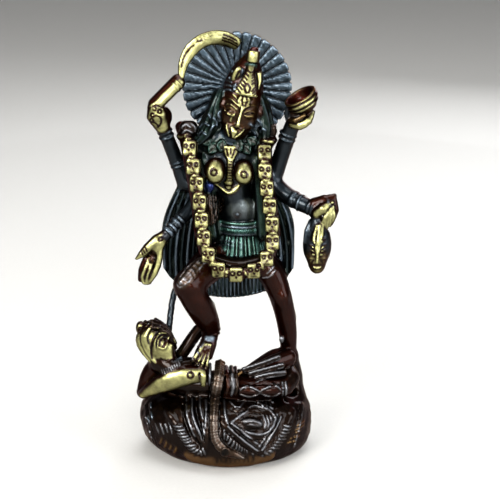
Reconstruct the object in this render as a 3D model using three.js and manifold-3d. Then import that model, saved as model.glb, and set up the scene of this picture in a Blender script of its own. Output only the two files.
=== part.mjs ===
// Cast brass figure of Kali, who stands on Shiva, who lies on a low rocky mound.
// Millimetres, +Z up, the front of the figure faces -Y, origin at the middle of the flat underside.
// The whole work is one casting, so every form below is joined into one solid.
import * as THREE from "three";
import { mergeVertices } from "three/addons/utils/BufferGeometryUtils.js";
import Module from "manifold-3d";

const wasm = await Module();
wasm.setup();

// Driving dimensions
const BASE_WIDTH = 83;
const BASE_DEPTH = 62;
const BASE_HEIGHT = 33;
const FIGURE_FOOT = BASE_HEIGHT + 2; // the feet rest on the mound and on the body that lies there
const FIGURE_HEIGHT = 165; // from there to the rim of the halo
const BASE_LEAN = 3; // the underside lies this far towards +X of the widest part
const HALO_RADIUS = 25.3;
const HALO_THICKNESS = 3.4;
const RAY_COUNT = 32;
const RAY_GROOVE = 1; // depth of the groove between two rays at the rim
const FAN_WIDTH = 62; // the loose hair that spreads behind the body
const FAN_THICKNESS = 4;
const LOCK_COUNT = 7;
const LOCK_GROOVE = 0.9;
const SKULL_COUNT = 19;
const SKULL_RADIUS = 3.3;
const CORD_RADIUS = 2.3; // the cord shows between two skulls
const PLEAT_COUNT = 12; // strips that hang from the girdle
const PLEAT_GROOVE = 0.9;
const BAND_RISE = 0.7; // bangles and anklets
const BAND_WIDTH = 2.4;
const HILT_RADIUS = 2.2;
const BLADE_WIDTH = 6.4;
const BLADE_THICKNESS = 2.4;
const BOWL_RADIUS = 7.4;
const BOWL_DEPTH = 8.8;
const BOWL_WALL = 1.2;
const FINGER_RADIUS = 1.05;
const TOE_RADIUS = 1.05;
const PROP_RADIUS = 1.5; // casting props behind the raised leg
const SNAKE_RADIUS = 2;
const HIDE_BORDER = 2.6; // border of the hide that hangs over the mound
const TUFT_RISE = 0.5; // how far a tuft of fur widens that border

// The pose is drawn on a grid: 200 units from the underside to the rim of the halo, the feet at 35.
const FOOT_LINE = 35;
const RIM_LINE = 200;
const GRID = FIGURE_HEIGHT / (RIM_LINE - FOOT_LINE);

const FRONT = new THREE.Vector3(0, -1, 0);
const UP = new THREE.Vector3(0, 0, 1);

// A point of the pose in millimetres.
function at(x, y, z) {
  return new THREE.Vector3(x * GRID, y * GRID, FIGURE_FOOT + (z - FOOT_LINE) * GRID);
}

function path(...points) {
  return points.map((point) => at(...point));
}

// A closed three.js geometry as a solid.
function solid(geometry) {
  const bare = geometry.clone().deleteAttribute("normal").deleteAttribute("uv");
  const merged = mergeVertices(bare, 1e-4);
  const mesh = new wasm.Mesh({
    numProp: 3,
    vertProperties: new Float32Array(merged.attributes.position.array),
    triVerts: new Uint32Array(merged.index.array),
  });
  return new wasm.Manifold(mesh);
}

// The solid whose surface is the geometry's, with each vertex moved by `move`.
function moulded(geometry, move) {
  const position = geometry.attributes.position;
  for (let i = 0; i < position.count; i++) {
    const vertex = new THREE.Vector3().fromBufferAttribute(position, i);
    position.setXYZ(i, ...move(vertex).toArray());
  }
  return solid(geometry);
}

function euler(degrees) {
  return new THREE.Euler(...degrees.map(THREE.MathUtils.degToRad));
}

// An ellipsoid with radii in grid units, turned by degrees about x, y and z.
function ball(centre, radii, { turn = [0, 0, 0], sides = 8, rings = 5 } = {}) {
  const form = new THREE.SphereGeometry(GRID, sides, rings).rotateX(Math.PI / 2).scale(...radii);
  return moulded(form, (vertex) => vertex.applyEuler(euler(turn)).add(centre));
}

// The value at share t of a list of [half width, half depth] pairs, or of round girths.
function girthAt(girths, t) {
  const place = t * (girths.length - 1);
  const low = Math.floor(place);
  const halves = (girth) => (Array.isArray(girth) ? girth : [girth, girth]);
  const from = halves(girths[low]);
  const to = halves(girths[Math.min(low + 1, girths.length - 1)]);
  return from.map((value, i) => THREE.MathUtils.lerp(value, to[i], place - low));
}

// A round-ended form along a smooth curve, with girths in grid units spread evenly over its points.
// Its width lies across `face` and its depth along it. Each share in `bands` gets a raised band.
function limb(points, girths, { sides = 7, rings = girths.length - 1, face = FRONT, bands = [] } = {}) {
  const curve = new THREE.CatmullRomCurve3(points, false, "centripetal");
  const half = BAND_WIDTH / 2 / curve.getLength();
  const clear = 1.6 * half; // no other ring of the form lies this close to a band
  const count = Math.max(rings, 1);
  const stations = Array.from({ length: count + 1 }, (_, i) => ({ share: i / count, rise: 0 }))
    .filter(({ share }) => bands.every((band) => Math.abs(band - share) > clear))
    .concat(bands.map((band) => ({ share: band - half, rise: 0 })))
    .concat(bands.map((band) => ({ share: band, rise: BAND_RISE })))
    .concat(bands.map((band) => ({ share: band + half, rise: 0 })))
    .sort((a, b) => a.share - b.share);
  const last = stations.length - 1;
  const form = new THREE.CapsuleGeometry(1, 1, 1, sides, last);
  return moulded(form, ({ x, y, z }) => {
    const along = THREE.MathUtils.clamp(y, -0.5, 0.5);
    const { share, rise } = stations[Math.round((along + 0.5) * last)];
    const tangent = curve.getTangent(share);
    const depth = face.clone().addScaledVector(tangent, -face.dot(tangent)).normalize();
    const width = tangent.clone().cross(depth);
    const [halfWidth, halfDepth] = girthAt(girths, share).map((girth) => girth * GRID + rise);
    return curve
      .getPoint(share)
      .addScaledVector(width, x * halfWidth)
      .addScaledVector(depth, z * halfDepth)
      .addScaledVector(tangent, (y - along) * Math.min(halfWidth, halfDepth));
  });
}

// Both of a mirrored pair: `make` gets -1 for the side towards -X and 1 for the other.
function pair(make) {
  return [make(-1), make(1)];
}

// The mound: [share of its half width, share of its height] from the underside up.
const MOUND_PROFILE = [
  [0.75, 0],
  [0.89, 0.08],
  [0.97, 0.24],
  [1, 0.49],
  [0.96, 0.68],
  [0.86, 0.83],
  [0.66, 0.94],
  [0.36, 1],
];

function moundReach(level) {
  const next = Math.max(MOUND_PROFILE.findIndex(([, height]) => height >= level), 1);
  const [low, high] = [MOUND_PROFILE[next - 1], MOUND_PROFILE[next]];
  return THREE.MathUtils.mapLinear(level, low[1], high[1], low[0], high[0]);
}

function moundShift(level) {
  return BASE_LEAN * (1 - level) ** 2;
}

// A point on the front of the mound, from shares of its half width and of its height.
function onMound(across, level) {
  const forward = Math.sqrt(Math.max(moundReach(level) ** 2 - across ** 2, 0));
  const x = (across * BASE_WIDTH) / 2 + moundShift(level);
  return new THREE.Vector3(x, (-forward * BASE_DEPTH) / 2, level * BASE_HEIGHT);
}

function mound() {
  const profile = [[0, 0], ...MOUND_PROFILE, [0, 1]].map((point) => new THREE.Vector2(...point));
  const form = new THREE.LatheGeometry(profile, 16)
    .rotateX(Math.PI / 2)
    .scale(BASE_WIDTH / 2, BASE_DEPTH / 2, BASE_HEIGHT);
  return [
    moulded(form, (vertex) => vertex.setX(vertex.x + moundShift(vertex.z / BASE_HEIGHT))),
    limb(path([30, 6, 20], [31, 7, 33], [31.5, 7.5, 45]), [[9, 13], [7.4, 9], [4.4, 4.6]]),
  ];
}

// The hide that hangs over the mound in two points, with tufts of fur along its border.
function hide() {
  const left = [[-0.6, 0.72], [-0.47, 0.55], [-0.26, 0.27], [-0.18, 0.5], [-0.14, 0.82]];
  const right = [[0.02, 0.71], [0.3, 0.42], [0.46, 0.19], [0.6, 0.32], [0.76, 0.62]];
  const strand = [[-0.45, 0.9], [-0.36, 0.76], [-0.25, 0.5]];
  const innerRight = [[0.06, 0.86], [0.33, 0.54], [0.44, 0.38], [0.55, 0.5], [0.68, 0.72]];
  const line = (corners) => corners.map((corner) => onMound(...corner));
  const tuftCount = 7;
  const tufts = Array.from({ length: tuftCount }, (_, i) => {
    const rise = i % 2 ? TUFT_RISE : -TUFT_RISE;
    return (HIDE_BORDER / 2 + rise) / GRID;
  });
  return [
    limb(line(left), tufts, { sides: 4 }),
    limb(line(right), tufts, { sides: 4 }),
    limb(line(strand), [1.4, 1.6, 1.2], { sides: 5 }),
    limb(line(innerRight), [1], { sides: 4, rings: 4 }),
    ball(onMound(0.34, 0.69), [3.4, 1.8, 2.2], { turn: [0, 20, 0], sides: 5, rings: 3 }),
  ];
}

function snake() {
  const overBody = path([0, -11, 44], [-1.5, -19, 41]);
  const downMound = [[-0.115, 0.93], [-0.12, 0.8], [-0.11, 0.66], [-0.06, 0.49], [0.04, 0.36], [0.15, 0.25]];
  const line = [...overBody, ...downMound.map((share) => onMound(...share))];
  const thick = SNAKE_RADIUS / GRID;
  const body = Array(6).fill(thick);
  const hood = [1.3 * thick, thick];
  const mouth = [0.5 * thick, 0.4 * thick];
  return [limb(line, [...body, hood, mouth], { sides: 5, rings: 8 })];
}

// Shiva lies on his back with his head towards -X, his near arm bent and his legs towards +X.
function shiva() {
  const trunk = limb(
    path([-27, -8, 39], [-16, -11, 37.5], [-4, -11, 36], [8, -10, 34]),
    [[6.5, 6], [7, 6.5], [6, 6.5], [6, 6]],
    { face: UP },
  );
  const upperArm = limb(path([-30, -7, 45], [-36, -6.5, 38], [-38.5, -8, 31]), [5, 4.6, 3.6], { sides: 6 });
  const foreArm = limb(
    path([-8, -17.5, 43.6], [-15, -18.5, 43.6], [-24, -18, 41], [-31, -16, 37.6], [-38.6, -10.5, 31]),
    [4, 3.7, 3.5, 3.3, 3],
    { sides: 7 },
  );
  const belts = [1, 5.6].map((x) =>
    limb(path([x - 0.6, -11, 42.4], [x, -17, 40.6], [x - 0.6, -22, 35.5]), [1.5, 1.8, 1.5], { sides: 5 }),
  );
  const nearThigh = limb(path([3, -12, 35], [15, -14.5, 35.6], [28, -13, 35.6]), [6.4, 5.6, 4.4]);
  const farThigh = limb(path([8, -3, 35.5], [20, -3, 38], [30, -2, 39]), [5, 5, 4.2], { sides: 5 });
  const sash = limb(
    path([8.5, -19.5, 38.2], [13, -20.6, 37.2], [17.5, -20, 38.4], [22, -19.8, 37.2], [27, -17.6, 38.2]),
    [1.7, 1.8, 1.5, 1.8, 1.5],
    { sides: 5 },
  );
  const hand = [0, 1].map((i) => {
    const line = path([25, -10 - 2 * i, 42 - 1.4 * i], [14 - i, -11 - 2 * i, 39.8 - i]);
    return limb(line, [1.3, 1.1], { sides: 4 });
  });
  return [trunk, upperArm, foreArm, ...belts, nearThigh, farThigh, sash, ...hand, ...shivaHead()];
}

function shivaHead() {
  const lean = [4, -26, 0];
  const skull = ball(at(-31, -10, 56.6), [7.2, 7.4, 11], { turn: lean, sides: 9, rings: 5 });
  const chin = ball(at(-27, -14, 49.4), [4, 3.8, 4], { turn: lean, sides: 5, rings: 3 });
  const nose = limb(
    path([-31.2, -17, 61], [-29.4, -18.6, 57.4], [-28.4, -18, 54.6]),
    [0.8, 1.2, 1.2],
    { sides: 5 },
  );
  const eye = ball(at(-27.6, -16, 57.8), [2.2, 1.4, 1.5], { turn: [0, 30, 0], sides: 5, rings: 3 });
  const knot = ball(at(-38, -8, 61), [2.6, 3, 4.4], { turn: [0, -20, 0], sides: 5, rings: 4 });
  const strand = limb(
    path([-34, -13.6, 66], [-36.6, -13, 58.5], [-33.6, -13.4, 50.5], [-30, -13.6, 44.6]),
    [1.9, 2.1, 1.8, 1.6],
    { sides: 5 },
  );
  const fringe = limb(
    path([-34.6, -13, 66.4], [-29.6, -13, 66.2], [-25, -11, 62], [-22.6, -9, 56]),
    [1.8, 1.9, 1.8, 1.6],
    { sides: 5 },
  );
  const collar = limb(
    path([-29.8, -14.4, 44.6], [-24, -16.6, 45.6], [-18, -14.4, 49]),
    [1.9, 2.2, 1.9],
    { sides: 5 },
  );
  return [skull, chin, nose, eye, knot, strand, fringe, collar];
}

// Fingers or toes, `count` of them, side by side along `spread`, which is in shares of their radius.
function digits(line, spread, count, radius) {
  const fanning = 0.12; // how much further apart each next row of points lies
  const taper = 0.8;
  return Array.from({ length: count }, (_, i) => {
    const side = (i - (count - 1) / 2) * radius;
    const points = line.map((point, row) => {
      return point.clone().addScaledVector(spread, side * (1 + fanning * row));
    });
    return limb(points, [radius / GRID, (taper * radius) / GRID], { sides: 4, rings: line.length - 1 });
  });
}

function legs() {
  const raisedThigh = limb(path([1, 1, 99], [-8, -8, 93.6], [-15, -16, 87.6]), [8.6, 8, 6.6], {
    sides: 8,
    face: UP,
  });
  const raisedShin = limb(
    path([-16, -16.6, 88], [-12.4, -15.8, 80], [-8.8, -13, 72], [-6, -9.6, 65], [-6.2, -8.6, 59.5]),
    [6.6, 6.4, 6, 4.6, 3.5],
    { sides: 8, bands: [0.9] },
  );
  const raisedFoot = limb(
    path([-6.3, -8.4, 60], [-7.8, -12.5, 54.6], [-9.6, -16.6, 49.6]),
    [3.4, [4.2, 3.2], [4.6, 2.2]],
    { sides: 6 },
  );
  const raisedToes = digits(
    path([-9.4, -15.5, 51.6], [-10.6, -19.4, 47.2]),
    new THREE.Vector3(2, 0, 0),
    4,
    TOE_RADIUS,
  );
  const thigh = path([15, 0, 97], [21.4, -0.4, 90], [26, -1, 80]);
  const calf = path([28.8, 0, 69.7], [30.6, 2.4, 58], [31.2, 4.4, 49], [31.6, 5.4, 44]);
  const straightLeg = limb([...thigh, ...calf], [7.2, 6.4, 5, 4.7, 3.9, 4], { rings: 6 });
  const straightFoot = limb(
    path([32, 6, 44.6], [25, 1, 46], [17, -4, 43.4], [10.4, -8, 40.6]),
    [[3.6, 3.4], [4.2, 3.4], [4, 2.6], [3.6, 2]],
    { sides: 6, face: UP },
  );
  return [raisedThigh, raisedShin, raisedFoot, ...raisedToes, straightLeg, straightFoot];
}

function torso() {
  const trunk = limb(
    path([6.5, 0, 97], [8, 0.6, 113], [6.8, 1, 121], [4.8, 0.5, 130], [3.2, 0, 141], [3.6, 1, 153]),
    [[13, 8], [9, 7.2], [6.8, 5.8], [8.2, 6.2], [12, 7.2], [12, 4.6]],
    { sides: 10, rings: 7 },
  );
  const breasts = pair((side) =>
    ball(at(3.1 + 6.3 * side, -7.4, 139.4 - 0.7 * side), [4.2, 4.6, 5.9]),
  );
  const pendant = limb(
    path([3.9, -6.8, 149], [3.2, -8, 141], [2.4, -7.6, 131]),
    [[2.8, 1.4], [1.3, 1.4], [1.2, 1.2]],
    { sides: 5 },
  );
  const collar = limb(
    path([-4.6, -4.4, 150.6], [3.8, -7, 146.6], [11.4, -4.4, 150.6]),
    [2.2, 2.4, 2.2],
    { sides: 4, rings: 4 },
  );
  const neck = limb(path([4, 0, 149], [5.6, -2, 160]), [5.4, 4.8], { sides: 6 });
  return [trunk, ...breasts, pendant, collar, neck];
}

// A belt over a pleated skirt that flares from the waist to the hips, in grid units.
function girdle() {
  const profile = [[0, 98], [13.2, 98.4], [10, 109.4], [10.9, 110.8], [10.2, 114], [0, 114]];
  const depthShare = 0.94;
  const waistLine = 109;
  const backLine = 8; // the loose hair lies against the girdle behind
  const groove = PLEAT_GROOVE / GRID;
  const form = new THREE.LatheGeometry(profile.map((point) => new THREE.Vector2(...point)), 2 * PLEAT_COUNT);
  return [
    moulded(form.rotateX(Math.PI / 2), (vertex) => {
      const angle = Math.atan2(vertex.y, vertex.x);
      const isGroove = Math.round((angle * PLEAT_COUNT) / Math.PI) % 2 !== 0;
      const reach = Math.hypot(vertex.x, vertex.y);
      const radius = isGroove && vertex.z < waistLine ? Math.max(reach - groove, 0) : reach;
      const depth = Math.min(1 + depthShare * radius * Math.sin(angle), backLine);
      return at(8.4 + radius * Math.cos(angle), depth, vertex.z);
    }),
  ];
}

// The hair behind the body: a sheet of locks, round at its foot and narrower at the shoulders.
function hairFan() {
  const [foot, top] = [at(2.4, 9, 73.5), at(2.4, 6, 154)];
  const shoulderShare = 0.62;
  const curl = 5 * GRID; // how far the two edges come forward
  const footRise = 22 * GRID; // how far the foot line rises from its middle to its two ends
  const footSpan = 0.97; // just short of a full quarter turn at each end
  const sheet = new THREE.BoxGeometry(2, 1, 1, 2 * LOCK_COUNT, 1, 3);
  return [
    moulded(sheet, ({ x, y, z }) => {
      const share = z + 0.5;
      const roundFoot = footRise * (1 - Math.sqrt(1 - footSpan * x * x));
      const narrowing = THREE.MathUtils.smoothstep(share, 0.22, 0.85);
      const half = (FAN_WIDTH / 2) * THREE.MathUtils.lerp(1, shoulderShare, narrowing);
      const isGroove = Math.round((x + 1) * LOCK_COUNT) % 2 !== 0;
      const thick = FAN_THICKNESS - (isGroove ? 2 * LOCK_GROOVE : 0);
      return new THREE.Vector3(
        foot.x + x * half,
        THREE.MathUtils.lerp(foot.y, top.y, share) - curl * x * x + y * thick,
        THREE.MathUtils.lerp(foot.z + roundFoot, top.z, share),
      );
    }),
  ];
}

// A cord of skulls that hangs from both shoulders down to the thighs.
function garland() {
  const route = new THREE.CatmullRomCurve3(
    path(
      [-17.6, 1.6, 157.4],
      [-15.6, -5, 153.3],
      [-13.6, -9.5, 144.5],
      [-11.4, -12, 133],
      [-10, -13.4, 123.6],
      [-8.8, -15.6, 112],
      [-6.6, -18, 103.6],
      [-1.6, -20, 96.6],
      [7.4, -20.6, 94.6],
      [16, -19, 97],
      [21, -16.8, 102.6],
      [22.9, -15, 110],
      [22, -13.4, 120.5],
      [20.2, -11.4, 132],
      [19.2, -9.4, 142],
      [19.4, -5.4, 150.6],
      [21.6, 1.6, 155.4],
    ),
  );
  const stationsPerSkull = 3;
  const count = SKULL_COUNT * stationsPerSkull;
  const girths = Array.from({ length: count + 1 }, (_, i) => {
    const radius = i % stationsPerSkull ? SKULL_RADIUS : CORD_RADIUS;
    return [radius / GRID, (0.9 * radius) / GRID];
  });
  const backing = [
    limb(path([-9.4, -5, 143], [-5.6, -7.4, 109]), [4, 4.6], { sides: 5 }),
    limb(path([16.8, -4, 143], [18.4, -7.4, 109]), [3.6, 4.4], { sides: 5 }),
    limb(path([-3, -10.6, 97], [7, -13, 94.6], [17, -10.6, 97]), [3.6, 5], { sides: 6 }),
  ];
  return [limb(route.getSpacedPoints(count), girths, { sides: 5 }), ...backing];
}

function arms() {
  const swordArm = limb(
    path([-13, 1, 131], [-17, 1.4, 131.6], [-20.2, 1, 139.5], [-23, -1, 147.6], [-28, -5.4, 162]),
    [3.4, 3.6, 3.3, 3.2, 3.2],
    { sides: 6, bands: [0.8] },
  );
  const bowlArm = limb(
    path([18, 1, 133], [22.6, 1.4, 134.6], [25.6, 1, 141], [28.2, 0, 149], [32.4, -3, 161.6]),
    [3.4, 3.8, 3.8, 3.8, 3.5],
    { sides: 6, bands: [0.8] },
  );
  const openArm = limb(
    path([-9, 1, 134], [-11.6, 0, 124.6], [-16.6, -4.4, 118.6], [-21.6, -8.4, 114.6], [-26.4, -12, 109.8]),
    [4.2, 3.6, 2.9, 2.6, 2.2],
    { sides: 6, bands: [0.9] },
  );
  const headArm = limb(
    path([19, 1, 137], [24, 0.5, 131], [29.6, -2, 126.6], [37, -7, 123.6], [42.6, -10.5, 121.8]),
    [4.4, 4, 3.8, 3.6, 3.4],
    { sides: 6, bands: [0.72, 0.88] },
  );
  return [swordArm, bowlArm, openArm, headArm];
}

function hands() {
  const fist = [
    ball(at(-29.6, -6, 165.4), [4, 4.2, 6.4], { turn: [0, 24, 0], sides: 6, rings: 4 }),
    ...[0, 1, 2].map((i) =>
      ball(at(-32.2 + 2.1 * i, -9 - 0.4 * i, 164 + 2.6 * i), [1.9, 1.7, 1.7], { sides: 4, rings: 3 }),
    ),
  ];
  const open = [
    ball(at(-29.2, -13.4, 105.2), [3.6, 2.2, 5.6], { turn: [0, 26, 0], sides: 6, rings: 4 }),
    ...digits(path([-31, -14, 101.6], [-35, -16, 88.8]), new THREE.Vector3(1.9, 0, -0.4), 4, FINGER_RADIUS),
    limb(path([-30.4, -13.8, 108], [-34.6, -15, 104.4], [-39, -15.4, 99.8]), [2.1, 1.8, 1], { sides: 5 }),
  ];
  const grip = [
    ball(at(46.4, -12, 123.4), [5.6, 3.6, 4], { turn: [0, -24, 0], sides: 6, rings: 4 }),
    limb(path([45.4, -11.6, 125], [49, -12, 127.4], [51.4, -12, 129.4]), [2.8, 2, 0.8], { sides: 5 }),
    ...digits(
      path([49.4, -13, 124.4], [48.8, -14.4, 119], [46.6, -13.6, 114.4]),
      new THREE.Vector3(-1, 0, -0.5),
      3,
      1.25 * FINGER_RADIUS,
    ),
  ];
  const cupped = [
    ball(at(34.6, -4.6, 164.2), [4.8, 4, 4.8], { turn: [0, 26, 0], sides: 6, rings: 4 }),
    limb(path([33.6, -7.6, 160.8], [37.4, -8.2, 163.2], [39.8, -7, 167.8]), [1.8, 2, 1.3], { sides: 5 }),
  ];
  return [...fist, ...open, ...grip, ...cupped];
}

// A curved sword whose blade sweeps over the head and rests its blunt end against the halo.
function sword() {
  const [wide, thick] = [BLADE_WIDTH / 2 / GRID, BLADE_THICKNESS / 2 / GRID];
  const grip = HILT_RADIUS / GRID;
  const hilt = limb(path([-31.6, -8, 165], [-18.8, -3.6, 180.6]), [grip], { sides: 6, bands: [0.86] });
  const rise = path([-18.4, -3.4, 180.6], [-17.4, -2.4, 187], [-14.4, -1, 192.8], [-9.4, 0, 197.2]);
  const sweep = path([-4.2, 2, 198.6], [1.4, 5, 197.8], [6.8, 8.4, 194.8]);
  const widths = [0.4, 0.72, 0.96, 1, 1.04, 1.1, 0.9].map((share) => [share * wide, thick]);
  return [hilt, limb([...rise, ...sweep], widths, { sides: 6, rings: 8 })];
}

// The bowl is hollow and leans towards the head.
function bowl() {
  const arc = (radius, depth, steps) =>
    Array.from({ length: steps + 1 }, (_, i) => {
      const angle = ((i / steps) * Math.PI) / 2;
      return new THREE.Vector2(radius * Math.sin(angle), -depth * Math.cos(angle));
    });
  const outside = arc(BOWL_RADIUS, BOWL_DEPTH, 3);
  const inside = arc(BOWL_RADIUS - BOWL_WALL, BOWL_DEPTH - BOWL_WALL, 3).reverse();
  const opening = new THREE.Vector3(-0.48, -0.18, 0.86).normalize();
  const lean = new THREE.Quaternion().setFromUnitVectors(new THREE.Vector3(0, 1, 0), opening);
  const rim = at(39, -4.4, 166.4).addScaledVector(opening, BOWL_DEPTH); // the bowl rests in the palm
  const form = new THREE.LatheGeometry([...outside, ...inside], 12);
  return [moulded(form, (vertex) => vertex.applyQuaternion(lean).add(rim))];
}

function severedHead() {
  const place = (x, y, z) => at(43.4 + x, -12 + y, 105 + z);
  return [
    ball(place(0, 0, 0.6), [6.7, 6.2, 10.4], { sides: 8, rings: 6 }),
    ball(place(0, -1.4, -8.6), [4, 4, 4.2], { sides: 5, rings: 3 }),
    limb([place(-0.2, 0, 13), place(0, 0, 6)], [2.8, 5.4], { sides: 5 }),
    limb([place(0, -5.4, 3.4), place(0, -7.4, -3.6)], [[0.9, 1], [1.8, 1.5]], { sides: 5 }),
    ...pair((side) => limb([place(0.6 * side, -6, 1.6), place(5.2 * side, -3.8, 4)], [1, 0.8], { sides: 4 })),
    ...pair((side) => ball(place(3.2 * side, -5, -0.6), [1.8, 1.3, 1.2], { sides: 4, rings: 3 })),
  ];
}

const HEAD = at(8, -3, 167);
const HEAD_TURN = [8, 12, 0];

// A point of the head, from the middle of the skull, before the head is tilted.
function onHead(x, y, z) {
  return new THREE.Vector3(x, y, z).multiplyScalar(GRID).applyEuler(euler(HEAD_TURN)).add(HEAD);
}

function head() {
  const skull = ball(HEAD, [9.2, 9, 11.4], { turn: HEAD_TURN, sides: 10, rings: 7 });
  const jaw = ball(onHead(0, -2.6, -8), [5.4, 5.4, 4.8], { turn: HEAD_TURN, sides: 7, rings: 4 });
  const nose = limb(
    [onHead(0, -8.4, 4), onHead(0, -10, 0), onHead(0, -11.2, -4.4)],
    [[0.8, 1], [1.1, 1.2], [1.8, 1.5]],
    { sides: 5 },
  );
  const brows = pair((side) => {
    const line = [onHead(side, -8.8, 3.4), onHead(4 * side, -8.4, 5), onHead(7.2 * side, -5.8, 3.4)];
    return limb(line, [0.9, 1, 0.6], { sides: 4 });
  });
  const eyes = pair((side) => ball(onHead(3.9 * side, -7.7, 0.8), [2.5, 1.5, 1.5], { sides: 5, rings: 3 }));
  const tongue = limb(
    [onHead(0, -8, -7), onHead(0, -9.4, -9.6), onHead(0, -9, -12.4)],
    [[2, 1], [1.8, 1], [0.6, 0.6]],
    { sides: 5 },
  );
  return [skull, jaw, nose, ...brows, ...eyes, tongue, ...sideHair()];
}

// Loose locks on both sides of the face, down to the shoulders.
function sideHair() {
  const locks = [
    path([-1, -3, 168], [-4, -4, 158.6], [-9, -4, 151.5]),
    path([17.4, -2, 167], [19.4, -3, 157], [18, -4, 148]),
  ];
  const bulk = pair((side) => {
    const line = path([8 + 5.4 * side, 3, 168], [6 + 9.6 * side, 3, 158], [4 + 12.6 * side, 2, 150]);
    return limb(line, [6, 6, 5], { sides: 5 });
  });
  return [...bulk, ...locks.map((line) => limb(line, [2.4, 2.8, 2.2], { sides: 5 }))];
}

// A tall crown with a pointed front plate, a block on top and a leaf at each side.
function crown() {
  const cap = limb(
    path([8.6, -1, 170], [9.8, -1, 177], [11.4, -0.6, 184], [13, -0.4, 189.4]),
    [[9.9, 9.4], [9.2, 8.4], [6.8, 6], [3.4, 3.4]],
    { sides: 10 },
  );
  const plate = limb(
    path([10.4, -11.6, 175], [11.6, -9.6, 180], [12.8, -6.8, 184.6], [13.4, -4.6, 187.6]),
    [[5.8, 1.4], [4.2, 1.7], [2.4, 2], [2, 2]],
    { sides: 6 },
  );
  const block = limb(path([13.4, -3, 187.8], [13.8, -2.6, 191.4]), [[2.8, 2.6], [2.6, 2.4]], { sides: 6 });
  const leaves = [
    ball(at(4.6, -7.4, 182), [2, 1.7, 4.4], { turn: [0, 16, 0], sides: 5, rings: 4 }),
    ball(at(17.2, -6.4, 180), [1.8, 1.7, 4.4], { turn: [0, -8, 0], sides: 5, rings: 4 }),
  ];
  return [cap, plate, block, ...leaves];
}

// A round halo behind the head, with a groove between each ray and the next.
function halo() {
  const centre = at(6.6, 12.6, RIM_LINE).setZ(FIGURE_FOOT + FIGURE_HEIGHT - HALO_RADIUS);
  const front = -HALO_THICKNESS / 2;
  const profile = [[0, front], [HALO_RADIUS, front], [HALO_RADIUS, -front], [0, -front]];
  const form = new THREE.LatheGeometry(profile.map((point) => new THREE.Vector2(...point)), 2 * RAY_COUNT);
  return [
    moulded(form, ({ x, y, z }) => {
      const radius = Math.hypot(x, z);
      const angle = Math.atan2(z, x);
      const isCut = Math.round((angle * RAY_COUNT) / Math.PI) % 2 !== 0 && radius > HALO_RADIUS / 2;
      const reach = isCut ? radius - RAY_GROOVE / 2 : radius;
      const sunk = isCut && y < 0 ? RAY_GROOVE : 0;
      return new THREE.Vector3(reach * Math.cos(angle), y + sunk, reach * Math.sin(angle)).add(centre);
    }),
    limb([onHead(0, 4, -2), centre], [6.6, 2], { sides: 6 }),
  ];
}

// Casting props that tie the raised leg and the hair to the figure below.
function props() {
  const thin = PROP_RADIUS / GRID;
  const rodLine = path([-20, 6, 85], [-23.8, 3, 76], [-25.9, -2, 61.6], [-27, -4, 52]);
  const webLine = path([-6.4, -4, 66], [-12, -2, 60], [-20, -4.6, 49]);
  return [
    limb(rodLine, [thin, thin, thin], { sides: 5 }),
    limb(webLine, [[2 * thin, thin], 2 * thin], { sides: 5 }),
  ];
}

// The casting is solid throughout, so any hollow that the joins close off is filled.
function joined(forms) {
  const skins = forms.reduce((whole, form) => whole.add(form)).decompose();
  return skins.reduce((outer, skin) => (skin.volume() > outer.volume() ? skin : outer));
}

// A solid as a three.js geometry.
function geometryOf(form) {
  const { numProp, vertProperties, triVerts } = form.getMesh();
  const geometry = new THREE.BufferGeometry();
  geometry.setAttribute("position", new THREE.BufferAttribute(vertProperties, numProp));
  geometry.setIndex(new THREE.BufferAttribute(triVerts, 1));
  geometry.computeVertexNormals();
  return geometry;
}

const figure = joined([
  ...mound(),
  ...hide(),
  ...snake(),
  ...shiva(),
  ...legs(),
  ...torso(),
  ...girdle(),
  ...hairFan(),
  ...garland(),
  ...arms(),
  ...hands(),
  ...sword(),
  ...bowl(),
  ...severedHead(),
  ...head(),
  ...crown(),
  ...halo(),
  ...props(),
]);

const brass = new THREE.MeshStandardMaterial({
  color: 0x8a7334,
  metalness: 1,
  roughness: 0.35,
  flatShading: true,
});

const kali = new THREE.Mesh(geometryOf(figure), brass);
kali.name = "kali_figure";

const group = new THREE.Group();
group.add(kali);

export default group;
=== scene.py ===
"""Cast brass figure of Kali on Shiva: the surface, engraving and patina of the casting, and the stage.

The casting is modelled as a founder's clay is: forms are added to one block, detail is raised or cut
on them, and the whole is then turned into one mesh that carries its polish and patina at each point,
with painted highlights and painted shade in them.
Lengths in the modelling are millimetres in the frame of the part: +Z up, -Y to the front.
"""
import math

import bpy
import numpy as np
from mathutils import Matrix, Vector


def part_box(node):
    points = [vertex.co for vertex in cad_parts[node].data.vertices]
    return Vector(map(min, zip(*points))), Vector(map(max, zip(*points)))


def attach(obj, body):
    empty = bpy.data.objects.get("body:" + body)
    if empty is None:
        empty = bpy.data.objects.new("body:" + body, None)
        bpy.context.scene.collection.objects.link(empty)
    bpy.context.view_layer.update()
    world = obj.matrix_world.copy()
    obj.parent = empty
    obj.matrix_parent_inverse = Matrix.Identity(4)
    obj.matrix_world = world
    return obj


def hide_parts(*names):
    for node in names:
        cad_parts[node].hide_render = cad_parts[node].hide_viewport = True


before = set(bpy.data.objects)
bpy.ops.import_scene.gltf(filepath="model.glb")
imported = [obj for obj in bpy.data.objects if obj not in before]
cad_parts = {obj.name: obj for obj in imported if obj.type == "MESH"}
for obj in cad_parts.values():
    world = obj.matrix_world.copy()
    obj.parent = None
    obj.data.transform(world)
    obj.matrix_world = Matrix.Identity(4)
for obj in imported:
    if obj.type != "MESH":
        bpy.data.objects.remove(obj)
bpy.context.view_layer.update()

import openvdb
from mathutils import Vector

bl_info = {
    "name": "Kali figure in cast brass",
    "version": (1, 0, 0),
    "blender": (4, 5, 0),
    "location": "3D View > Sidebar > Kali figure",
    "description": "Models a cast, patinated brass figure of Kali and sets it on a plain stage",
    "category": "Object",
}

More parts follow.
